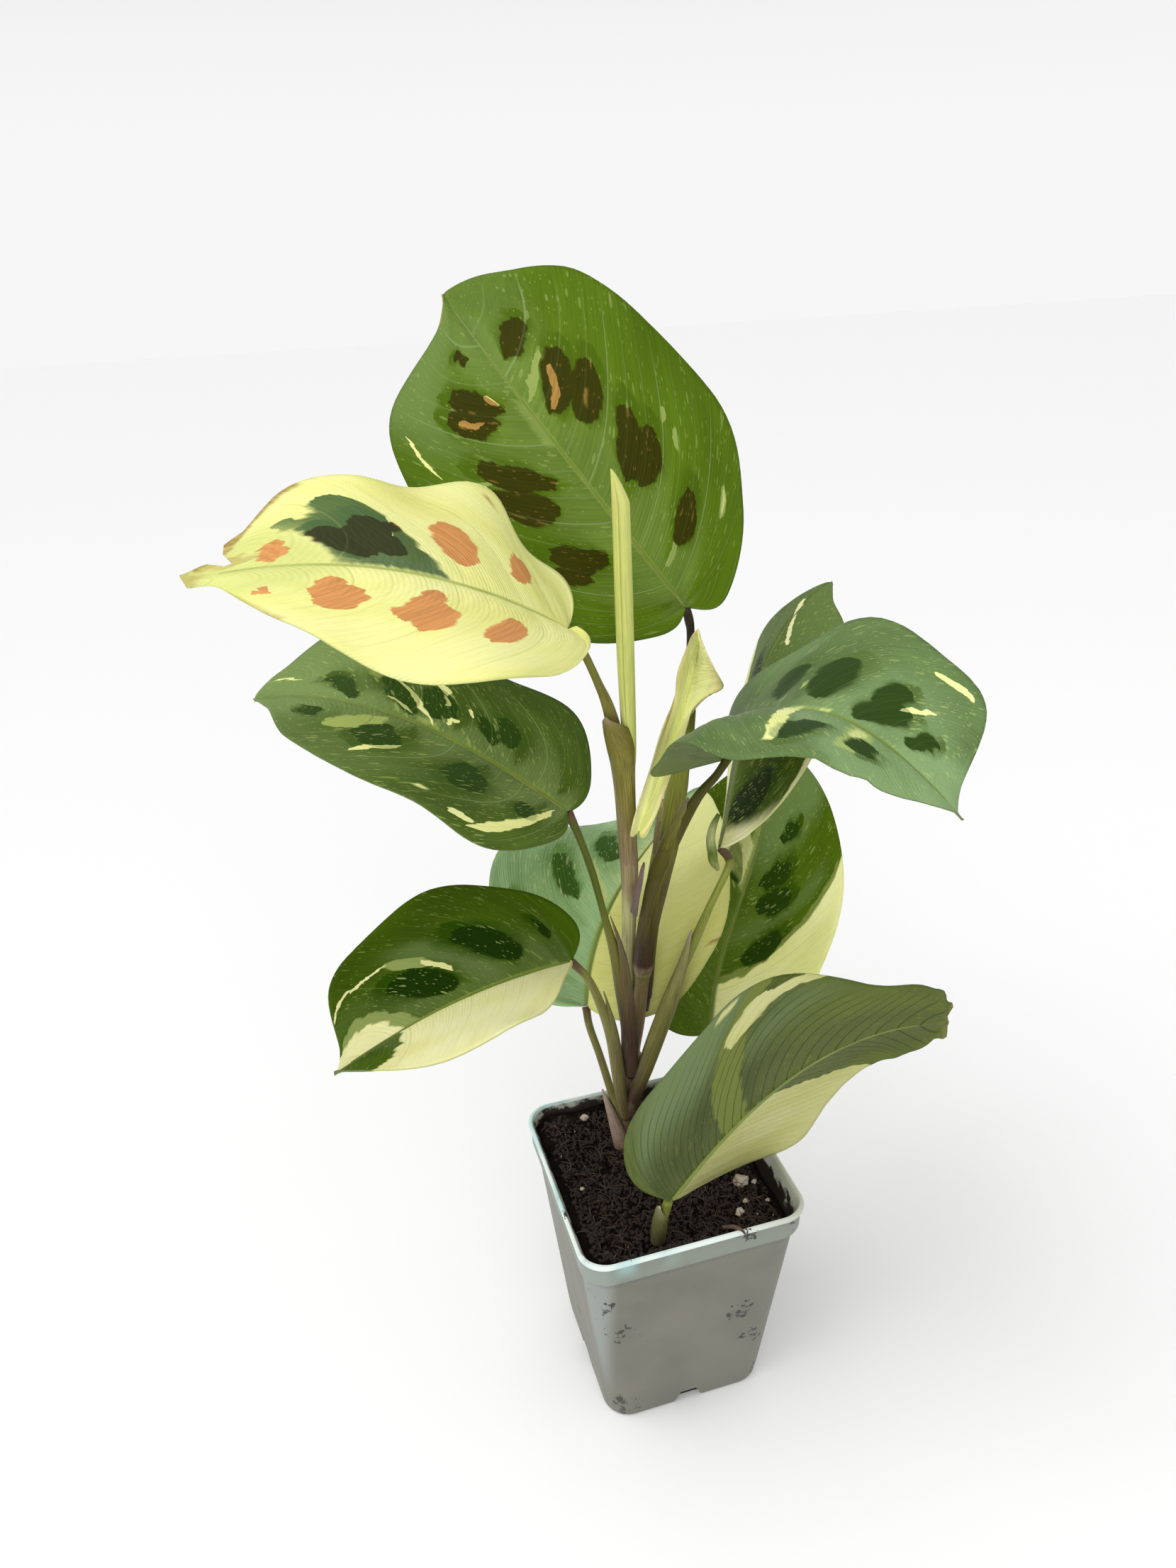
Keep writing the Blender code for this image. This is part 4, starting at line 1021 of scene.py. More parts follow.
def stem_material(name, stops, lines=30.0, seed=0.0, mottle=0.3, contrast=1.0):
    """A stem whose colour changes along its length through the given stops."""
    material, tree = new_material(name)
    uv = tree.node("ShaderNodeUVMap", uv_map="length")[0]
    ramp = tree.node("ShaderNodeValToRGB", {0: uv.split()[0]})
    ramp.made.color_ramp.interpolation = "EASE"
    elements = ramp.made.color_ramp.elements
    while len(elements) < len(stops):
        elements.new(0.5)
    for element, (place, colour) in zip(elements, stops):
        element.position = place
        element.color = rgb(colour)
    skin = tree.group("stem skin", Map=uv, Colour=ramp[0], Lines=lines, Contrast=contrast,
                      Mottle=mottle, Seed=seed)
    tree.paint(skin["Color"], skin["Roughness"], skin["Height"], strength=0.35, depth=0.0003,
               gloss=0.15)
    return material


# Colours along the stems, from foot to end.

OLIVE = (0.14, 0.13, 0.02)
BEIGE = (0.48, 0.46, 0.21)
PURPLE = (0.055, 0.026, 0.028)
BROWN = (0.11, 0.065, 0.03)
BLACKISH = (0.03, 0.022, 0.015)
MOTTLE = (0.10, 0.075, 0.03)
STALK_STOPS = {
    "top": [(0.0, PURPLE), (0.35, (0.1, 0.09, 0.015)), (0.6, (0.2, 0.22, 0.03)),
            (0.78, (0.12, 0.16, 0.01)), (0.83, BLACKISH), (1.0, BLACKISH)],
    "cream": [(0.0, BEIGE), (0.3, BEIGE), (0.38, (0.32, 0.26, 0.13)), (0.6, (0.26, 0.22, 0.06)),
              (0.9, (0.2, 0.19, 0.04)), (1.0, (0.14, 0.12, 0.03))],
    "middle_left": [(0.0, PURPLE), (0.2, (0.09, 0.06, 0.04)), (0.5, (0.15, 0.14, 0.03)),
                    (0.7, (0.085, 0.115, 0.01)), (0.93, (0.08, 0.1, 0.012)), (1.0, BROWN)],
    "low_left": [(0.0, (0.18, 0.14, 0.06)), (0.4, (0.22, 0.2, 0.07)), (0.85, (0.2, 0.2, 0.05)),
                 (1.0, BROWN)],
    "rear": [(0.0, BROWN), (0.3, (0.22, 0.2, 0.06)), (0.8, (0.18, 0.17, 0.05)), (1.0, BROWN)],
    "rear_right": [(0.0, BROWN), (0.3, OLIVE), (1.0, BROWN)],
    "steep": [(0.0, PURPLE), (0.15, (0.12, 0.09, 0.05)), (0.3, (0.24, 0.23, 0.07)),
              (0.75, (0.27, 0.31, 0.05)), (0.86, (0.2, 0.22, 0.03)), (0.9, BROWN), (1.0, BROWN)],
    "near_right": [(0.0, (0.18, 0.15, 0.07)), (0.05, PURPLE), (0.25, (0.07, 0.052, 0.015)),
                   (0.5, (0.075, 0.066, 0.008)), (0.8, (0.055, 0.06, 0.003)),
                   (1.0, (0.055, 0.055, 0.005))],
    "front": [(0.0, (0.11, 0.11, 0.03)), (0.6, (0.15, 0.16, 0.04)), (1.0, (0.16, 0.19, 0.03))],
    "young": [(0.0, (0.22, 0.18, 0.08)), (1.0, (0.4, 0.36, 0.13))],
}
CANE_STOPS = [(0.0, (0.06, 0.04, 0.025)), (0.3, (0.15, 0.105, 0.065)), (0.5, (0.28, 0.2, 0.125)),
              (0.56, (0.34, 0.27, 0.15)), (0.6, (0.22, 0.16, 0.085)), (0.85, (0.18, 0.14, 0.055)),
              (0.93, (0.32, 0.27, 0.14)), (1.0, (0.28, 0.23, 0.12))]
ROLL_STOPS = [(0.0, (0.34, 0.27, 0.07)), (0.1, (0.44, 0.41, 0.12)), (0.28, (0.62, 0.66, 0.19)),
              (0.6, (0.55, 0.58, 0.16)), (1.0, (0.58, 0.6, 0.18))]
BRACT_STOPS = [(0.0, (0.2, 0.13, 0.09)), (0.4, (0.36, 0.26, 0.21)), (1.0, (0.46, 0.36, 0.28))]
MEMBRANE_STOPS = [(0.0, (0.16, 0.11, 0.1)), (0.7, (0.2, 0.14, 0.13)), (1.0, (0.12, 0.08, 0.08))]
LOBE_STOPS = [(0.0, (0.3, 0.34, 0.12)), (0.35, (0.13, 0.19, 0.03)), (0.7, (0.42, 0.44, 0.2)),
              (1.0, (0.1, 0.16, 0.02))]
SHEATH_CONTRAST = {"near_right": 2.0}

# Sheaths, as rows for wrap and colours.

SHEATHS = {
    "cream": ([
        (-2.4, 18.9, 170.0, 2.3, -110, 176), (-2.6, 18.4, 176.0, 2.45, -110, 176),
        (-3.2, 17.7, 184.0, 2.55, -110, 176), (-4.0, 16.9, 199.0, 2.75, -110, 172),
        (-4.8, 16.0, 209.0, 3.2, -112, 160), (-5.7, 15.1, 215.5, 3.7, -118, 135),
        (-7.1, 14.3, 221.0, 3.4, -128, 92), (-8.6, 13.5, 224.6, 2.5, -135, 52),
        (-9.4, 12.9, 226.6, 1.9, -138, 10)],
        [(0.0, BEIGE), (0.06, (0.38, 0.31, 0.18)), (0.16, (0.28, 0.2, 0.11)),
         (0.45, (0.22, 0.195, 0.04)), (0.8, (0.22, 0.19, 0.045)), (1.0, (0.34, 0.26, 0.17))]),
    "near_right": ([
        (0.6, 16.2, 140.4, 2.85, -160, 176), (0.7, 14.7, 149.0, 2.9, -160, 176),
        (1.7, 13.1, 160.0, 2.95, -160, 174), (3.7, 12.0, 171.0, 2.95, -163, 168),
        (5.7, 11.4, 180.0, 2.8, -165, 150), (7.4, 11.0, 186.0, 2.45, -168, 118),
        (9.6, 10.6, 191.0, 1.95, -170, 84), (11.6, 10.3, 195.6, 1.55, -170, 52),
        (12.9, 10.1, 198.6, 1.15, -170, 14)],
        [(0.0, (0.3, 0.24, 0.13)), (0.025, (0.2, 0.14, 0.09)), (0.05, (0.06, 0.03, 0.022)),
         (0.14, (0.055, 0.036, 0.016)), (0.25, (0.075, 0.06, 0.012)), (0.6, (0.115, 0.105, 0.012)),
         (0.8, (0.16, 0.16, 0.035)), (1.0, (0.24, 0.2, 0.12))]),
    "middle_left": ([
        (-4.5, 13.2, 104.5, 2.2, -25, 176), (-5.4, 11.6, 111.0, 2.35, -25, 176),
        (-5.4, 11.2, 119.0, 2.45, -25, 176), (-6.2, 10.7, 129.7, 2.3, -20, 165),
        (-7.3, 10.2, 139.0, 2.25, -15, 130), (-8.7, 9.7, 149.0, 2.15, -10, 100),
        (-10.4, 9.2, 157.0, 1.8, -10, 70), (-11.9, 8.9, 163.0, 1.3, -10, 40),
        (-12.6, 8.8, 166.0, 1.0, -10, 10)],
        [(0.0, (0.13, 0.09, 0.065)), (0.06, (0.11, 0.07, 0.05)), (0.25, (0.07, 0.036, 0.028)),
         (0.6, (0.15, 0.115, 0.05)), (1.0, (0.18, 0.14, 0.07))]),
    "steep": ([
        (-4.2, 12.4, 88.0, 2.1, -170, 176), (-4.6, 9.9, 98.0, 2.1, -170, 176),
        (-0.9, 9.9, 108.0, 2.15, -170, 176), (3.4, 10.3, 119.5, 2.2, -172, 168),
        (7.2, 10.9, 129.5, 2.15, -172, 140), (10.2, 11.5, 137.5, 2.0, -174, 110),
        (12.8, 12.0, 144.0, 1.75, -175, 80), (14.6, 12.4, 149.6, 1.4, -175, 46),
        (15.6, 12.6, 153.0, 1.05, -175, 12)],
        [(0.0, PURPLE), (0.12, (0.065, 0.035, 0.022)), (0.3, (0.2, 0.18, 0.05)),
         (0.75, (0.27, 0.26, 0.09)), (1.0, (0.42, 0.38, 0.28))]),
    "low_left": ([
        (-6.2, 13.4, 87.0, 1.8, -20, 176), (-8.1, 11.9, 96.0, 1.8, -20, 176),
        (-9.6, 10.9, 108.0, 1.9, -20, 170), (-11.0, 10.0, 119.0, 1.95, -20, 140),
        (-12.4, 9.3, 127.0, 1.9, -15, 105), (-13.9, 8.7, 134.0, 1.6, -10, 70),
        (-14.8, 8.3, 138.6, 1.2, -10, 40), (-15.2, 8.1, 141.0, 0.9, -10, 30)],
        [(0.0, (0.14, 0.1, 0.05)), (0.3, (0.2, 0.17, 0.07)), (0.7, (0.25, 0.23, 0.08)),
         (1.0, (0.28, 0.25, 0.13))]),
    "top": ([
        (1.8, 18.4, 128.0, 1.9, -150, 176), (3.3, 20.4, 136.0, 2.05, -150, 176),
        (3.8, 21.2, 142.0, 2.35, -150, 176), (5.9, 22.4, 158.0, 2.6, -150, 176),
        (8.6, 23.2, 171.0, 2.95, -155, 174), (11.2, 24.4, 181.0, 3.05, -160, 168),
        (14.1, 26.0, 190.5, 3.05, -165, 150), (16.0, 27.0, 198.0, 2.9, -170, 120),
        (18.0, 28.3, 208.0, 2.75, -170, 90), (19.0, 29.0, 216.0, 2.5, -170, 55),
        (19.4, 29.3, 222.0, 2.2, -170, 14)],
        [(0.0, PURPLE), (0.22, (0.1, 0.09, 0.02)), (0.4, (0.2, 0.2, 0.03)),
         (0.6, (0.25, 0.27, 0.04)), (0.85, (0.22, 0.26, 0.03)), (1.0, (0.28, 0.31, 0.08))]),
    "front": ([
        (-8.9, -22.3, 70.5, 2.0, -150, 176), (-8.9, -22.8, 75.0, 2.05, -150, 172),
        (-8.8, -23.6, 80.0, 2.0, -155, 150), (-8.7, -24.6, 84.0, 1.8, -160, 110),
        (-8.7, -25.4, 87.2, 1.4, -160, 50), (-8.6, -25.9, 88.6, 1.1, -160, 14)],
        [(0.0, (0.13, 0.12, 0.05)), (0.5, (0.15, 0.155, 0.05)), (0.9, (0.24, 0.24, 0.13)),
         (1.0, (0.6, 0.57, 0.48))]),
}
FOOT_MEMBRANE = [
    (-0.4, 14.3, 162.0, 3.2, -160, 26), (0.5, 13.7, 168.0, 3.45, -160, 22),
    (1.6, 13.1, 173.5, 3.55, -160, 17), (2.2, 12.8, 177.0, 3.55, -160, 12),
    (2.7, 12.6, 179.4, 3.5, -160, 5),
]
BASE_LOBE = [
    (24.8, 17.6, 169.0, 0.5, -125, 60), (23.6, 18.6, 171.5, 1.2, -125, 125),
    (23.4, 19.4, 174.5, 1.3, -125, 130), (23.2, 20.2, 178.0, 1.2, -125, 125),
    (24.2, 21.2, 181.5, 1.0, -125, 110), (26.4, 22.2, 185.0, 0.5, -125, 70),
]
BRACT_ROWS = [
    (-8.3, 12.6, 76.0, 2.4, -105, 100), (-9.0, 13.6, 80.0, 2.2, -105, 95),
    (-10.2, 15.2, 86.0, 1.6, -108, 80), (-11.5, 16.8, 91.5, 0.9, -110, 70),
    (-12.6, 18.1, 96.0, 0.3, -112, 40),
]


def build_sheaths():
    """The sheaths that clasp the stalks, the thin torn membrane beside the tallest two and the
    curled lobe at the foot of the steep leaf."""
    pieces = []
    for number, (name, (rows, stops)) in enumerate(SHEATHS.items()):
        skin = stem_material(f"sheath {name}", stops, lines=60.0, seed=30.0 + number, mottle=0.2,
                             contrast=SHEATH_CONTRAST.get(name, 1.4))
        pieces.append(wrap(f"leaf sheath {name}", rows, skin))
    skin = stem_material("membrane", MEMBRANE_STOPS, lines=20.0, seed=44.0)
    pieces.append(wrap("torn membrane", FOOT_MEMBRANE, skin, thickness=0.2, around=10))
    skin = stem_material("base lobe", LOBE_STOPS, lines=9.0, seed=45.0, mottle=0.0)
    return [*pieces, wrap("base lobe", BASE_LOBE, skin, around=16)]


def build_roll():
    """The unopened leaf: a rolled sheet with a lapped edge and a slanted point."""
    curve = smooth_path(ROLLED_PATH, 24)
    places, radii = curve[:, :3], curve[:, 3]
    _, across, over = carried_frames(places)
    turns = np.linspace(0.0, 1.0, 49)
    rings = rings_round(places, radii[:, None] * (1.0 - ROLL_LAP * turns),
                        ROLL_START - 2 * math.pi * ROLL_TURNS * turns, across, over)
    apex = (places + radii[:, None] * ROLL_POINT_SIDE)[:, None]
    share = np.arange(len(places)) / (len(places) - 1)
    cut = np.clip((share - ROLL_POINT_START) / (1.0 - ROLL_POINT_START), 0.0, 1.0)
    rings = apex + (rings - apex) * np.maximum((1.0 - cut) ** 0.75, 0.02)[:, None, None]
    skin = stem_material("rolled leaf", ROLL_STOPS, lines=20.0, seed=20.0, mottle=0.05,
                         contrast=0.35)
    mesh = sheet("rolled young leaf", rings, corners=(1, 0, 3, 2))
    return solid(link("rolled_young_leaf", mesh, skin), ROLL_THICKNESS)


# Scattered and grown pieces

RIB_GREENS = ((0.12, 0.165, 0.012), (0.165, 0.21, 0.025))
RIB_CREAMS = ((0.38, 0.44, 0.10), (0.46, 0.52, 0.15))


def finish_geometry(tree, geometry, skin):
    """Realize instances, shade smooth and give the material."""
    real = tree.node("GeometryNodeRealizeInstances", {0: geometry})
    smooth = tree.node("GeometryNodeSetShadeSmooth", {0: real[0]})
    painted = tree.node("GeometryNodeSetMaterial", {0: smooth[0], "Material": skin})
    tree.leave(Geometry=painted[0])
    return tree.tree


def rib_tree():
    """A round rib along a line of points, thick at its start and thin at its end."""
    tree, given = new_group(
        "midrib", "Geometry:Geometry, Base Radius, Tip Radius, Skin:Material",
        "Geometry:Geometry", "Geometry")
    curve = tree.node("GeometryNodeMeshToCurve", {0: given["Geometry"]})
    along = tree.node("GeometryNodeSplineParameter")["Factor"]
    radius = along.scaled(given["Tip Radius"] - given["Base Radius"], given["Base Radius"])
    ring = tree.node("GeometryNodeCurvePrimitiveCircle", {"Resolution": 8, "Radius": 1.0})
    body = tree.node("GeometryNodeCurveToMesh", {
        "Curve": curve[0], "Profile Curve": ring[0], "Scale": radius, "Fill Caps": True})
    return finish_geometry(tree, body[0], given["Skin"])


def scatter_tree(strand):
    """Crumbs or strands scattered on a surface, each turned and sized at random."""
    tree, given = new_group(
        "strands" if strand else "crumbs",
        "Geometry:Geometry, Density, Seed:Int, Smallest, Largest, Skin:Material",
        "Geometry:Geometry", "Geometry")
    points = tree.node("GeometryNodeDistributePointsOnFaces", {
        "Mesh": given["Geometry"], "Density": given["Density"], "Seed": given["Seed"]})
    if strand:
        line = tree.node("GeometryNodeCurveQuadraticBezier", {
            "Resolution": 5, "Start": (-3.0, 0.0, 0.0), "Middle": (0.4, 1.2, 1.2),
            "End": (3.0, -0.3, 0.2)})
        ring = tree.node("GeometryNodeCurvePrimitiveCircle", {"Resolution": 4, "Radius": 0.14})
        body = tree.node("GeometryNodeCurveToMesh", {
            "Curve": line[0], "Profile Curve": ring[0], "Fill Caps": True})
        low, high = (-0.35, -0.35, 0.0), (0.35, 0.35, 6.28)
    else:
        ball = tree.node("GeometryNodeMeshIcoSphere", {"Radius": 1.0, "Subdivisions": 1})
        body = tree.node("GeometryNodeTransform", {"Geometry": ball[0],
                                                   "Scale": (1.0, 0.72, 0.55)})
        low, high = (0.0, 0.0, 0.0), (6.28, 6.28, 6.28)
    turn = tree.node("FunctionNodeRandomValue", {0: low, 1: high, "Seed": given["Seed"]},
                     data_type="FLOAT_VECTOR")
    size = tree.node("FunctionNodeRandomValue",
                     {2: given["Smallest"], 3: given["Largest"], "Seed": given["Seed"] + 7.0},
                     data_type="FLOAT")
    placed = tree.node("GeometryNodeInstanceOnPoints", {
        "Points": points["Points"], "Instance": body[0], "Rotation": turn[0], "Scale": size[1]})
    return finish_geometry(tree, placed[0], given["Skin"])


def grown(name, mesh, group, values):
    """Run a geometry tree on a mesh and keep what it makes as a plain mesh."""
    thing = link(name, mesh)
    modifier = thing.modifiers.new("grown", "NODES")
    modifier.node_group = group
    for item in group.interface.items_tree:
        if item.in_out == "INPUT" and item.name in values:
            modifier[item.identifier] = values[item.name]
    return keep(thing)


def build_rib(name, leaf, group, skin, size):
    """The rounded midrib that stands out under a blade."""
    along = np.linspace(0.01, 0.93, 40)
    place, _, normal = midrib(leaf, along)
    mesh = mesh_from(name, place - normal * (0.62 - 0.25 * along[:, None]), [],
                     [(i, i + 1) for i in range(len(along) - 1)])
    return grown(f"midrib_{name}", mesh, group,
                 {"Base Radius": 0.95 * size * MM, "Tip Radius": 0.3 * MM, "Skin": skin})


# Pot and soil, in millimetres

POT_HEIGHT = 80.0
POT_BASE_HALF = 26.0
POT_SHOULDER_HALF = 33.0
POT_SHOULDER_Z = 70.5
POT_COLLAR_HALF = 34.2
POT_RIM_HALF = 35.0
POT_CORNER_RADIUS = 8.0
POT_WALL = 1.2
POT_FLOOR = 1.5
NOTCH_WIDTH = 14.6
NOTCH_DEPTH = 9.0
NOTCH_HEIGHT = 5.2
NOTCH_TOP_SHARE = 0.36
SOIL_TOP = 69.5
# The wall greys are partly the plastic's own grey and partly painted shade, darkened to the tone of
# the shaded front.
POT_GREY_SHADED = (0.126, 0.126, 0.097)
POT_PALE_GREY_SHADED = (0.170, 0.166, 0.131)
# Painted light on the front-left corner.
POT_CORNER_LIGHT = (0.30, 0.34, 0.33)
POT_COLLAR = (0.25, 0.30, 0.25)
# Painted shade in the step under the collar.
POT_STEP_SHADE = (0.07, 0.075, 0.065)
POT_RIM_LEFT = (0.72, 0.80, 0.75)
# Painted shade on the right half of the rim, where the leaves shade it.
POT_RIM_SHADE = (0.50, 0.52, 0.44)
POT_TURQUOISE = (0.35, 0.62, 0.62)
POT_SPECK = (0.016, 0.013, 0.010)
POT_SMEAR = (0.18, 0.17, 0.14)
# Painted light on the inner wall, standing in for light through the thin plastic.
POT_INSIDE_LIT = (0.42, 0.44, 0.38)
POT_DIRT = (0.016, 0.011, 0.007)
PEAT_BLACK = (0.004, 0.002, 0.0015)
PEAT_BROWN = (0.018, 0.010, 0.007)
PEAT_FIBRE = (0.036, 0.02, 0.013)
FIBRE_BROWNS = ((0.045, 0.026, 0.018), (0.12, 0.07, 0.045))
PERLITE_WHITES = ((0.34, 0.25, 0.17), (0.62, 0.55, 0.48))

# Clusters of specks on the pot: place and radius.
SPECK_SPOTS = [
    (-27.5, -31.8, 58.8, 7.5), (-23.5, -30.5, 45.2, 7.5), (15.6, -30.1, 41.3, 8.0),
    (20.4, -28.6, 26.6, 8.5), (-21.9, -26.6, 5.9, 9.5), (23.5, -26.6, 6.0, 7.0),
    (-30.9, -31.5, 49.4, 6.5), (-32.4, -28.4, 64.7, 6.0), (-28.3, 1.1, 23.1, 7.0),
    (14.0, -34.0, 78.0, 7.0), (-34.0, -12.0, 79.5, 5.5), (30.0, -33.0, 76.0, 7.0),
]

# Perlite grains: place seen from above, radius and seed.
GRAINS = [
    (23.7, -8.3, 2.1, 1.0), (28.2, -8.9, 0.9, 2.0), (22.4, -15.5, 0.8, 3.0),
    (18.8, -19.4, 1.3, 4.0), (-16.0, 28.6, 1.1, 5.0), (-25.1, 0.5, 0.7, 6.0),
    (28.4, -18.4, 0.6, 7.0),
]
BARK_PATH = [
    (8.0, -31.0, 79.3, 0.45), (10.5, -32.6, 80.4, 0.6), (12.4, -34.4, 80.3, 0.45),
    (13.2, -36.0, 79.2, 0.15),
]


def rounded_square(half, radius, z, steps=12, along=6):
    """Points round a square with rounded corners and points along its straight sides."""
    centre = half - radius
    local = []
    for step in range(steps + 1):
        angle = math.pi / 2 * step / steps
        local.append((centre + radius * math.cos(angle), centre + radius * math.sin(angle)))
    for step in range(1, along):
        local.append((centre - 2 * centre * step / along, half))
    points = []
    for corner in range(4):
        cos, sin = math.cos(math.pi / 2 * corner), math.sin(math.pi / 2 * corner)
        points += [(x * cos - y * sin, x * sin + y * cos, z) for x, y in local]
    return points


def loft(name, rings):
    """Join rings of equal length into one closed skin, with a flat cap at each end."""
    count = len(rings[0])
    faces = [tuple(reversed(range(count)))]
    for level in range(len(rings) - 1):
        for index in range(count):
            after = (index + 1) % count
            low = level * count
            faces.append((low + index, low + after, low + count + after, low + count + index))
    last = (len(rings) - 1) * count
    faces.append(tuple(range(last, last + count)))
    return mesh_from(name, [point for ring in rings for point in ring], faces)


def wall_half(z):
    """Outer half width of the pot's tapered wall at a height."""
    return POT_BASE_HALF + (POT_SHOULDER_HALF - POT_BASE_HALF) * z / POT_SHOULDER_Z


def rise(value, low, high):
    """A smooth step from 0 at low to 1 at high."""
    share = min(max((value - low) / (high - low), 0.0), 1.0)
    return share * share * (3 - 2 * share)


def notch_cutter(x, y):
    """A block, narrower at its top, that cuts a drain notch into the pot's foot."""
    length = Vector((NOTCH_WIDTH, NOTCH_DEPTH) if x == 0 else (NOTCH_DEPTH, NOTCH_WIDTH))
    work = bmesh.new()
    bmesh.ops.create_cube(work, size=1.0)
    bmesh.ops.scale(work, vec=Vector((*length, 2 * NOTCH_HEIGHT)) * MM, verts=work.verts)
    for vertex in work.verts:
        if vertex.co.z > 0.0:
            vertex.co[0 if x == 0 else 1] *= NOTCH_TOP_SHARE
    bmesh.ops.translate(work, vec=(x * MM, y * MM, 0.0), verts=work.verts)
    mesh = bpy.data.meshes.new("notch")
    work.to_mesh(mesh)
    work.free()
    return link("notch", mesh)


def build_pot():
    """The moulded pot: tapered wall, soft step under the collar, rolled rim and drain notches."""
    outer = [(POT_BASE_HALF - 1.6, 0.0), (POT_BASE_HALF - 0.9, 0.1), (POT_BASE_HALF - 0.3, 0.5),
             (POT_BASE_HALF, 1.3)]
    for step in range(1, 15):
        z = 1.3 + (POT_SHOULDER_Z - 2.3) * step / 14
        outer.append((wall_half(z), z))
    for step in range(1, 6):
        eased = rise(step / 5, 0.0, 1.0)
        outer.append((POT_SHOULDER_HALF + (POT_COLLAR_HALF - POT_SHOULDER_HALF) * eased,
                      POT_SHOULDER_Z - 1.0 + 2.4 * step / 5))
    outer.append((POT_COLLAR_HALF + 0.1, 77.2))
    for step in range(9):
        angle = math.pi * (step / 8) - math.pi / 2
        outer.append((POT_RIM_HALF - 0.9 + 0.9 * math.cos(angle),
                      POT_HEIGHT - 1.0 + math.sin(angle)))
    inner = [(POT_COLLAR_HALF - POT_WALL, 78.4), (POT_COLLAR_HALF - POT_WALL, 72.5),
             (POT_SHOULDER_HALF - POT_WALL, POT_SHOULDER_Z),
             (wall_half(POT_FLOOR) - POT_WALL, POT_FLOOR)]
    rings = [rounded_square(half, POT_CORNER_RADIUS, z) for half, z in outer]
    rings += [rounded_square(half, POT_CORNER_RADIUS - POT_WALL, z) for half, z in inner]
    pot = link("nursery_pot", loft("nursery pot", rings))
    reach = POT_BASE_HALF - 2.5
    cutters = [notch_cutter(x, y) for x, y in ((0, -reach), (reach, 0), (0, reach), (-reach, 0))]
    for cutter in cutters:
        modifier = pot.modifiers.new("notch", "BOOLEAN")
        modifier.operation = "DIFFERENCE"
        modifier.solver = "EXACT"
        modifier.object = cutter
    keep(pot)
    for cutter in cutters:
        bpy.data.objects.remove(cutter, do_unlink=True)
    pot.data.shade_smooth()
    pot.data.set_sharp_from_angle(angle=math.radians(50))
    pot.data.materials.append(pot_material())
    return pot


def pot_material():
    """Nursery plastic in a grey that is partly painted shade, with a corner paler as painted light,
    a paler collar over a line of painted shade, a whiter rim whose right half is painted shade, an
    inner wall paler as painted light, clusters of specks, soil smears and dirt inside."""
    material, tree = new_material("nursery pot plastic")
    place = tree.node("ShaderNodeTexCoord")["Object"]
    x, y, height = place.split()
    clouds = tree.noise(place, 45.0, 3.0)
    # Wall greys, partly painted shade.
    colour = tree.blend(clouds.ease(0.3, 0.7), rgb(POT_GREY_SHADED), rgb(POT_PALE_GREY_SHADED))
    # Painted light: the front-left corner is paler where the light falls on it.
    corner = x.ease(-0.024, -0.029) * y.ease(-0.021, -0.026)
    colour = tree.blend(corner * 0.6, colour, rgb(POT_CORNER_LIGHT))
    colour = tree.blend(height.ease(0.0704, 0.0722, 0.0, 0.55), colour, rgb(POT_COLLAR))
    # Painted shade: a dark line under the collar's step.
    step = height.ease(0.0680, 0.0700) * height.ease(0.0716, 0.0702)
    colour = tree.blend(step * 0.35, colour, rgb(POT_STEP_SHADE))
    rim = height.ease(0.0775, 0.0786)
    # The rim's right half is painted shade, where the leaves shade it.
    rim_and_shade = tree.blend(x.ease(0.0, 0.034), rgb(POT_RIM_LEFT), rgb(POT_RIM_SHADE))
    colour = tree.blend(rim, colour, rim_and_shade)
    tint = tree.noise(place, 60.0, 1.0).ease(0.42, 0.56) * height.ease(0.071, 0.078)
    tint = tint * x.ease(-0.004, -0.014)
    colour = tree.blend(tint * 0.5, colour, rgb(POT_TURQUOISE))
    wander = tree.node("ShaderNodeTexNoise", {"Vector": place, "Scale": 140.0})["Color"]
    wander = tree.blend(0.005, place, wander, "LINEAR_LIGHT")
    zone = 0.0
    for *spot, radius in SPECK_SPOTS:
        away = tree.node("ShaderNodeVectorMath",
                         {0: wander, 1: tuple(part * MM for part in spot)}, operation="DISTANCE")
        zone = tree.value("MAXIMUM", zone, away["Value"].ease(radius * MM, 0.0))
    speck = tree.noise(place, 620.0, 3.0, 0.65)
    edge = zone.scaled(-0.27, 0.725)
    speck = speck.ease(edge, edge + 0.03)
    colour = tree.blend(speck * 0.95, colour, rgb(POT_SPECK))
    smear = tree.noise(place, 120.0, 4.0, 0.7).ease(0.56, 0.75, 0.0, 0.35)
    colour = tree.blend(smear, colour, rgb(POT_SMEAR))
    flat = 0.026
    past = [(abs(side) - flat).most(0.0) for side in (x, y)]
    reach = flat + tree.value("SQRT", past[0] ** 2.0 + past[1] ** 2.0)
    limit = height.ease(0.0700, 0.0722, 0.0319, 0.0336)
    inside = (reach - limit).ease(0.00015, -0.00015)
    inside = inside * height.ease(0.066, 0.0665)
    # Painted light: the inner wall is paler, standing in for light coming through the thin plastic.
    colour = tree.blend(inside, colour, rgb(POT_INSIDE_LIT))
    dirt = height.scaled(-55.0, 4.62 + tree.noise(place, 170.0, 4.0, 0.7))
    dirt = dirt - x.ease(0.0, 0.03, 0.0, 0.24)
    colour = tree.blend(dirt.ease(0.72, 0.86) * inside, colour, rgb(POT_DIRT))
    tree.paint(colour, clouds.ease(0.2, 0.8, 0.38, 0.55), clouds + speck * 0.5, strength=0.3,
               depth=0.0004)
    return material


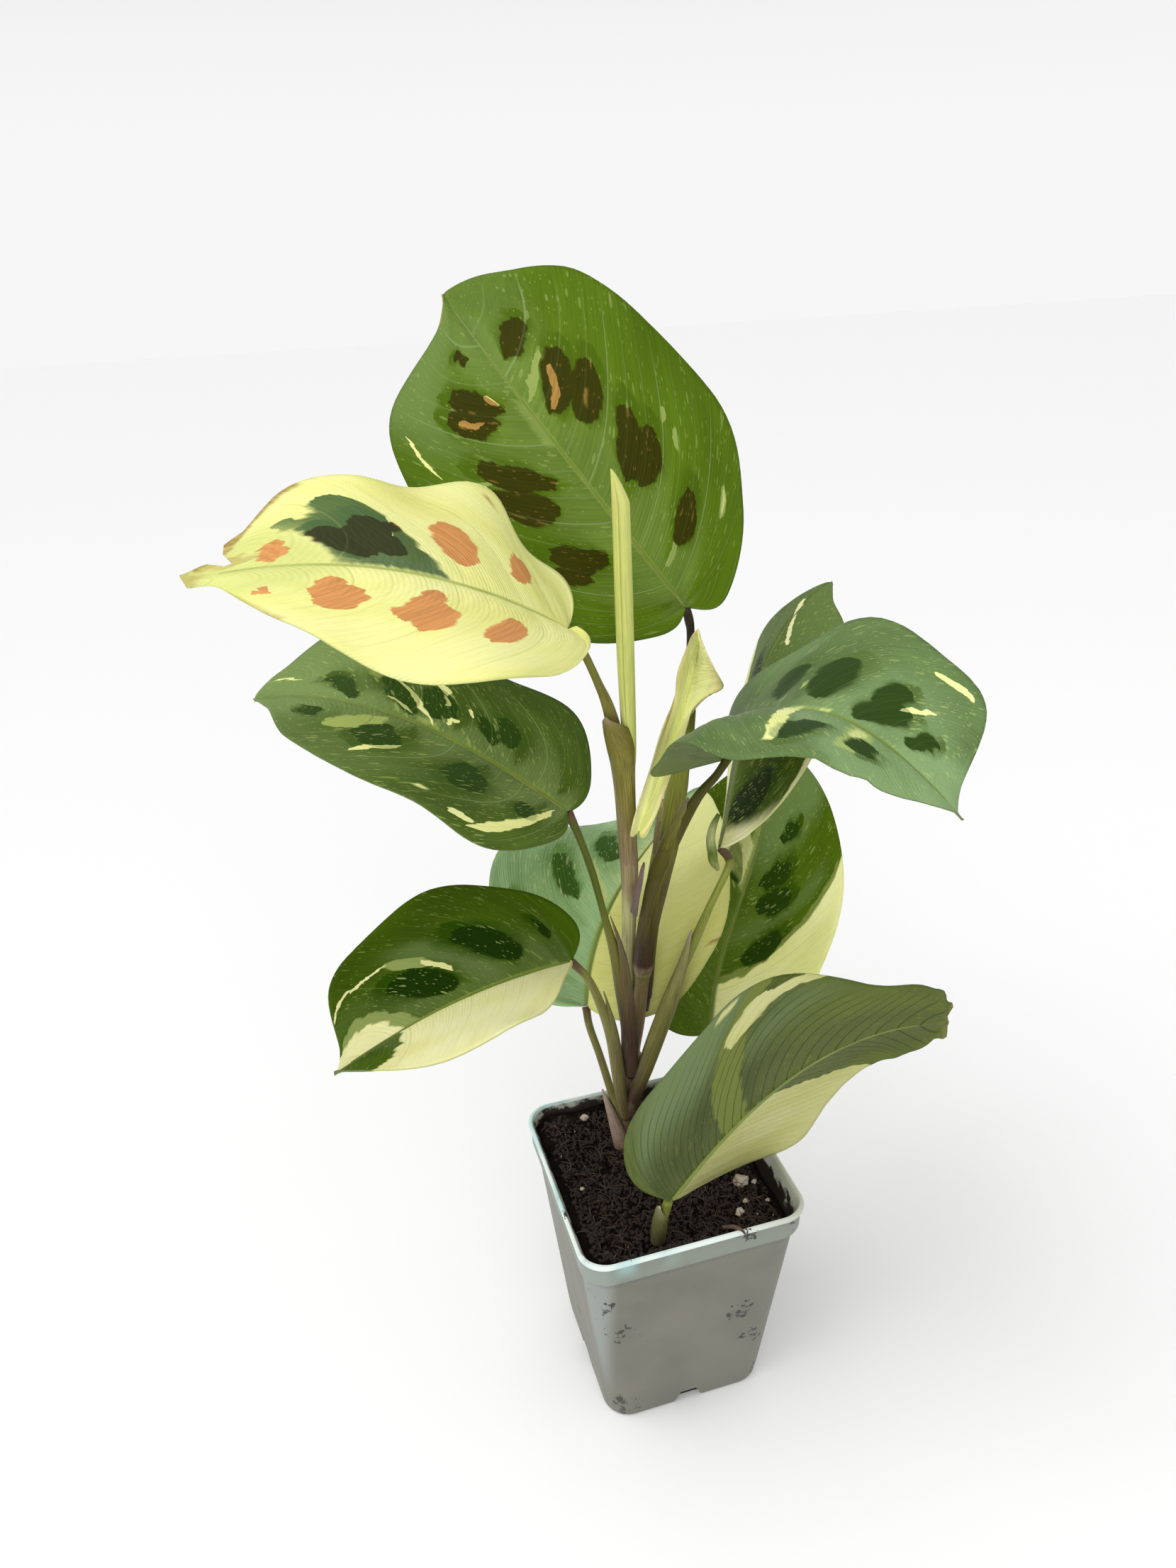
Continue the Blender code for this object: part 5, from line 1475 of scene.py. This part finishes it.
def peat_material():
    """Dark damp peat with brown fibre colours."""
    material, tree = new_material("peat")
    place = tree.node("ShaderNodeTexCoord")["Object"]
    coarse = tree.noise(place, 260.0, 4.0, 0.7)
    fine = tree.noise(place, 1400.0, 3.0, 0.7)
    colour = tree.blend(coarse.ease(0.4, 0.7), rgb(PEAT_BLACK), rgb(PEAT_BROWN))
    colour = tree.blend(fine.ease(0.55, 0.75, 0.0, 0.5), colour, rgb(PEAT_FIBRE))
    tree.paint(colour, fine.ease(0.2, 0.8, 0.7, 1.0), coarse + fine, strength=0.9, depth=0.0012,
               gloss=0.1)
    return material


def plain_material(name, first, second, scale, roughness):
    """Two mottled colours with a grainy surface."""
    material, tree = new_material(name)
    grain = tree.noise(tree.node("ShaderNodeTexCoord")["Object"], scale, 3.0, 0.6)
    tree.paint(tree.blend(grain.ease(0.35, 0.65), rgb(first), rgb(second)),
               grain.ease(0.2, 0.8, roughness - 0.1, roughness + 0.1), grain, strength=0.5,
               depth=0.0003)
    return material


def soil_height(x, y):
    """Uneven top of the soil, a little higher round the cane and banked up behind and left."""
    cane_x, cane_y = CANE_PATH[1][:2]
    swell = 2.0 * math.exp(-(math.hypot(x - cane_x, y - cane_y) / 14.0) ** 2)
    bump = math.sin(0.45 * x + 1.0) * math.cos(0.38 * y) + 0.5 * math.sin(0.9 * x - 0.7 * y)
    rough = noise.fractal(Vector((x * 0.18, y * 0.18, 3.0)), 1.0, 2.0, 4)
    crumb = noise.fractal(Vector((x * 0.7, y * 0.7, 9.0)), 1.0, 2.0, 4)
    bank = 6.0 * rise(-x, 17.0, 31.0) + 5.5 * rise(y, 14.0, 31.0) * rise(-x, -26.0, 6.0)
    bank += 2.0 * rise(-y, 22.0, 31.0)
    return SOIL_TOP + min(bank, 7.0) + swell + 0.5 * bump + 1.3 * rough + 0.7 * crumb


def soil_point(x, y, share):
    """A point of the soil's top, moved out to the wall where the soil is banked up."""
    height = soil_height(x, y)
    out = 1.0 + 0.045 * rise(height, 70.0, 73.5) * share ** 6
    return x * out, y * out, height


def build_soil():
    """Peat that fills the pot, with a crumbly top."""
    bottom, levels = POT_FLOOR + 0.3, 44
    inside = POT_WALL + 0.3
    radius = POT_CORNER_RADIUS - inside
    top_half = wall_half(SOIL_TOP - 3.0) - inside
    rings = [rounded_square(wall_half(bottom) - inside, radius, bottom),
             rounded_square(top_half, radius, SOIL_TOP - 3.0)]
    for level in range(levels):
        share = 1.0 - level / levels
        ring = rounded_square((top_half - 0.1) * share, radius * share, 0.0)
        rings.append([soil_point(x, y, max(abs(x), abs(y)) / top_half) for x, y, _ in ring])
    return link("peat_block", loft("peat block", rings), peat_material())


def soil_patch(half, steps):
    """A square sheet that follows the top of the soil."""
    places = np.linspace(-half, half, steps)
    points = [(x, y, soil_height(x, y) + 0.1) for y in places for x in places]
    faces = [(r * steps + c, r * steps + c + 1, (r + 1) * steps + c + 1, (r + 1) * steps + c)
             for r in range(steps - 1) for c in range(steps - 1)]
    return mesh_from("soil patch", points, faces)


def build_bits():
    """Crumbs, strands and perlite on the soil, and the crumbs and bark that lie on the rim."""
    crumbs, strands = scatter_tree(False), scatter_tree(True)
    peat = bpy.data.materials["peat"]
    fibre = plain_material("peat fibre", *FIBRE_BROWNS, scale=700.0, roughness=0.8)
    white = plain_material("perlite", *PERLITE_WHITES, scale=260.0, roughness=0.75)
    rim = mesh_from("rim strip", [(-22.0, -33.6, 79.4), (3.0, -33.6, 79.4), (3.0, -31.8, 78.6),
                                  (-22.0, -31.8, 78.6)], [(0, 1, 2, 3)])
    pieces = []
    for name, mesh, group, density, seed, smallest, largest, skin in (
            ("soil_crumbs", soil_patch(30.0, 40), crumbs, 620000.0, 4, 0.35, 1.25, peat),
            ("soil_strands", soil_patch(29.5, 30), strands, 170000.0, 9, 0.45, 1.0, fibre),
            ("perlite_dust", soil_patch(28.0, 20), crumbs, 5000.0, 13, 0.3, 0.7, white),
            ("rim_crumbs", rim, crumbs, 1500000.0, 21, 0.3, 1.0, peat)):
        pieces.append(grown(name, mesh, group, {
            "Density": density, "Seed": seed, "Smallest": smallest * MM,
            "Largest": largest * MM, "Skin": skin}))
    bark = sweep("bark bit", BARK_PATH, steps=5, sides=10, ridges=3, depth=0.2)
    return [*pieces, build_grains(white), link("bark_bit", bark, fibre)]


def build_grains(skin):
    """The larger perlite grains, each a lumpy stone pressed into the soil."""
    work = bmesh.new()
    for x, y, size, seed in GRAINS:
        made = bmesh.ops.create_icosphere(work, subdivisions=3, radius=size * MM)
        middle = Vector((x, y, soil_height(x, y) + 0.5 * size)) * MM
        for vertex in made["verts"]:
            lump = noise.fractal(vertex.co * 700.0 + Vector((seed * 9.0, 0.0, 0.0)), 1.0, 2.0, 3)
            squash = vertex.co * Vector((1.15, 0.9, 0.8))
            vertex.co = middle + squash * (1.0 + 0.6 * lump)
    mesh = bpy.data.meshes.new("perlite grains")
    work.to_mesh(mesh)
    work.free()
    return link("perlite_grains", mesh, skin)


# Studio

FLOOR_HALF = 3000.0
FLOOR_WHITE = (0.92, 0.92, 0.92)
AIM = Vector((0.0, 0.0, 0.18))


def build_lamp(name, kind, place, power):
    """A lamp that points at the plant."""
    data = bpy.data.lights.new(name, kind)
    data.energy = power
    lamp = bpy.data.objects.new(name, data)
    lamp.location = place
    lamp.rotation_euler = (AIM - Vector(place)).to_track_quat("-Z", "Y").to_euler()
    bpy.context.scene.collection.objects.link(lamp)
    return data


def build_studio():
    """Pale floor and soft studio light."""
    corners = [(x * FLOOR_HALF, y * FLOOR_HALF, 0) for x, y in ((-1, -1), (1, -1), (1, 1), (-1, 1))]
    material, tree = new_material("studio floor")
    shader = tree.tree.nodes["Principled BSDF"]
    shader.inputs["Base Color"].default_value = rgb(FLOOR_WHITE)
    shader.inputs["Roughness"].default_value = 0.9
    floor = link("floor", mesh_from("floor", corners, [(0, 1, 2, 3)]), material)
    world = bpy.data.worlds.new("studio")
    world.use_nodes = True
    tree = Tree(world.node_tree)
    direction = tree.node("ShaderNodeTexCoord")["Generated"]
    glow = direction.split()[2].ease(0.0, 0.5, 0.93, 0.62)
    tree.feed(world.node_tree.nodes["Background"].inputs[0], tree.vector(glow, glow, glow))
    bpy.context.scene.world = world
    bpy.context.scene.view_settings.view_transform = "Standard"
    build_lamp("key", "SUN", (-0.75, 0.0, 1.2), 1.35).angle = math.radians(50.0)
    build_lamp("fill", "AREA", (-0.3, -1.1, 0.9), 7.0).size = 1.2


# Putting the pieces on the plant


def dress(piece, node):
    """Let a piece stand for a CAD node."""
    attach(piece, "root")
    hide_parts(node)


def ride(piece):
    """Let a piece move with the plant."""
    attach(piece, "root")


def main():
    """Build every piece, the studio and the camera."""
    place_camera()
    for make_group in (leaf_map_group, leaf_patch_group, leaf_band_group, leaf_vein_group,
                       leaf_fleck_group, leaf_skin_group, stem_skin_group):
        make_group()
    ribs = rib_tree()
    green_rib, pale_rib = (plain_material(f"{name} midrib", *colours, scale=150.0, roughness=0.45)
                           for name, colours in (("green", RIB_GREENS), ("pale", RIB_CREAMS)))
    for name, leaf in LEAVES.items():
        dress(build_blade(name, leaf, LOOKS[name]), f"blade_{name}")
        if name != "young":
            skin = pale_rib if name == "cream" else green_rib
            ride(build_rib(name, leaf, ribs, skin, LOOKS[name].rib ** 0.5))
    for number, (name, path) in enumerate(STALK_PATHS.items()):
        mesh = sweep(f"leafstalk {name}", path, steps=8, sides=20, ridges=10, depth=0.03)
        skin = stem_material(f"stalk {name}", STALK_STOPS[name], seed=float(number))
        dress(link(f"leafstalk_{name}", mesh, skin), f"stalk_{name}")
    mesh = sweep("jointed cane", CANE_PATH, steps=10, sides=24, ridges=12, depth=0.015)
    skin = stem_material("cane skin", CANE_STOPS, lines=26.0, seed=3.0)
    dress(link("jointed_cane", mesh, skin), "cane")
    dress(build_roll(), "rolled_leaf")
    skin = stem_material("bract", BRACT_STOPS, lines=24.0, seed=21.0, mottle=0.35)
    dress(wrap("dry bract", BRACT_ROWS, skin, around=16), "bract")
    dress(build_pot(), "pot")
    dress(build_soil(), "soil")
    for piece in build_sheaths():
        ride(piece)
    for piece in build_bits():
        ride(piece)
    build_studio()


main()
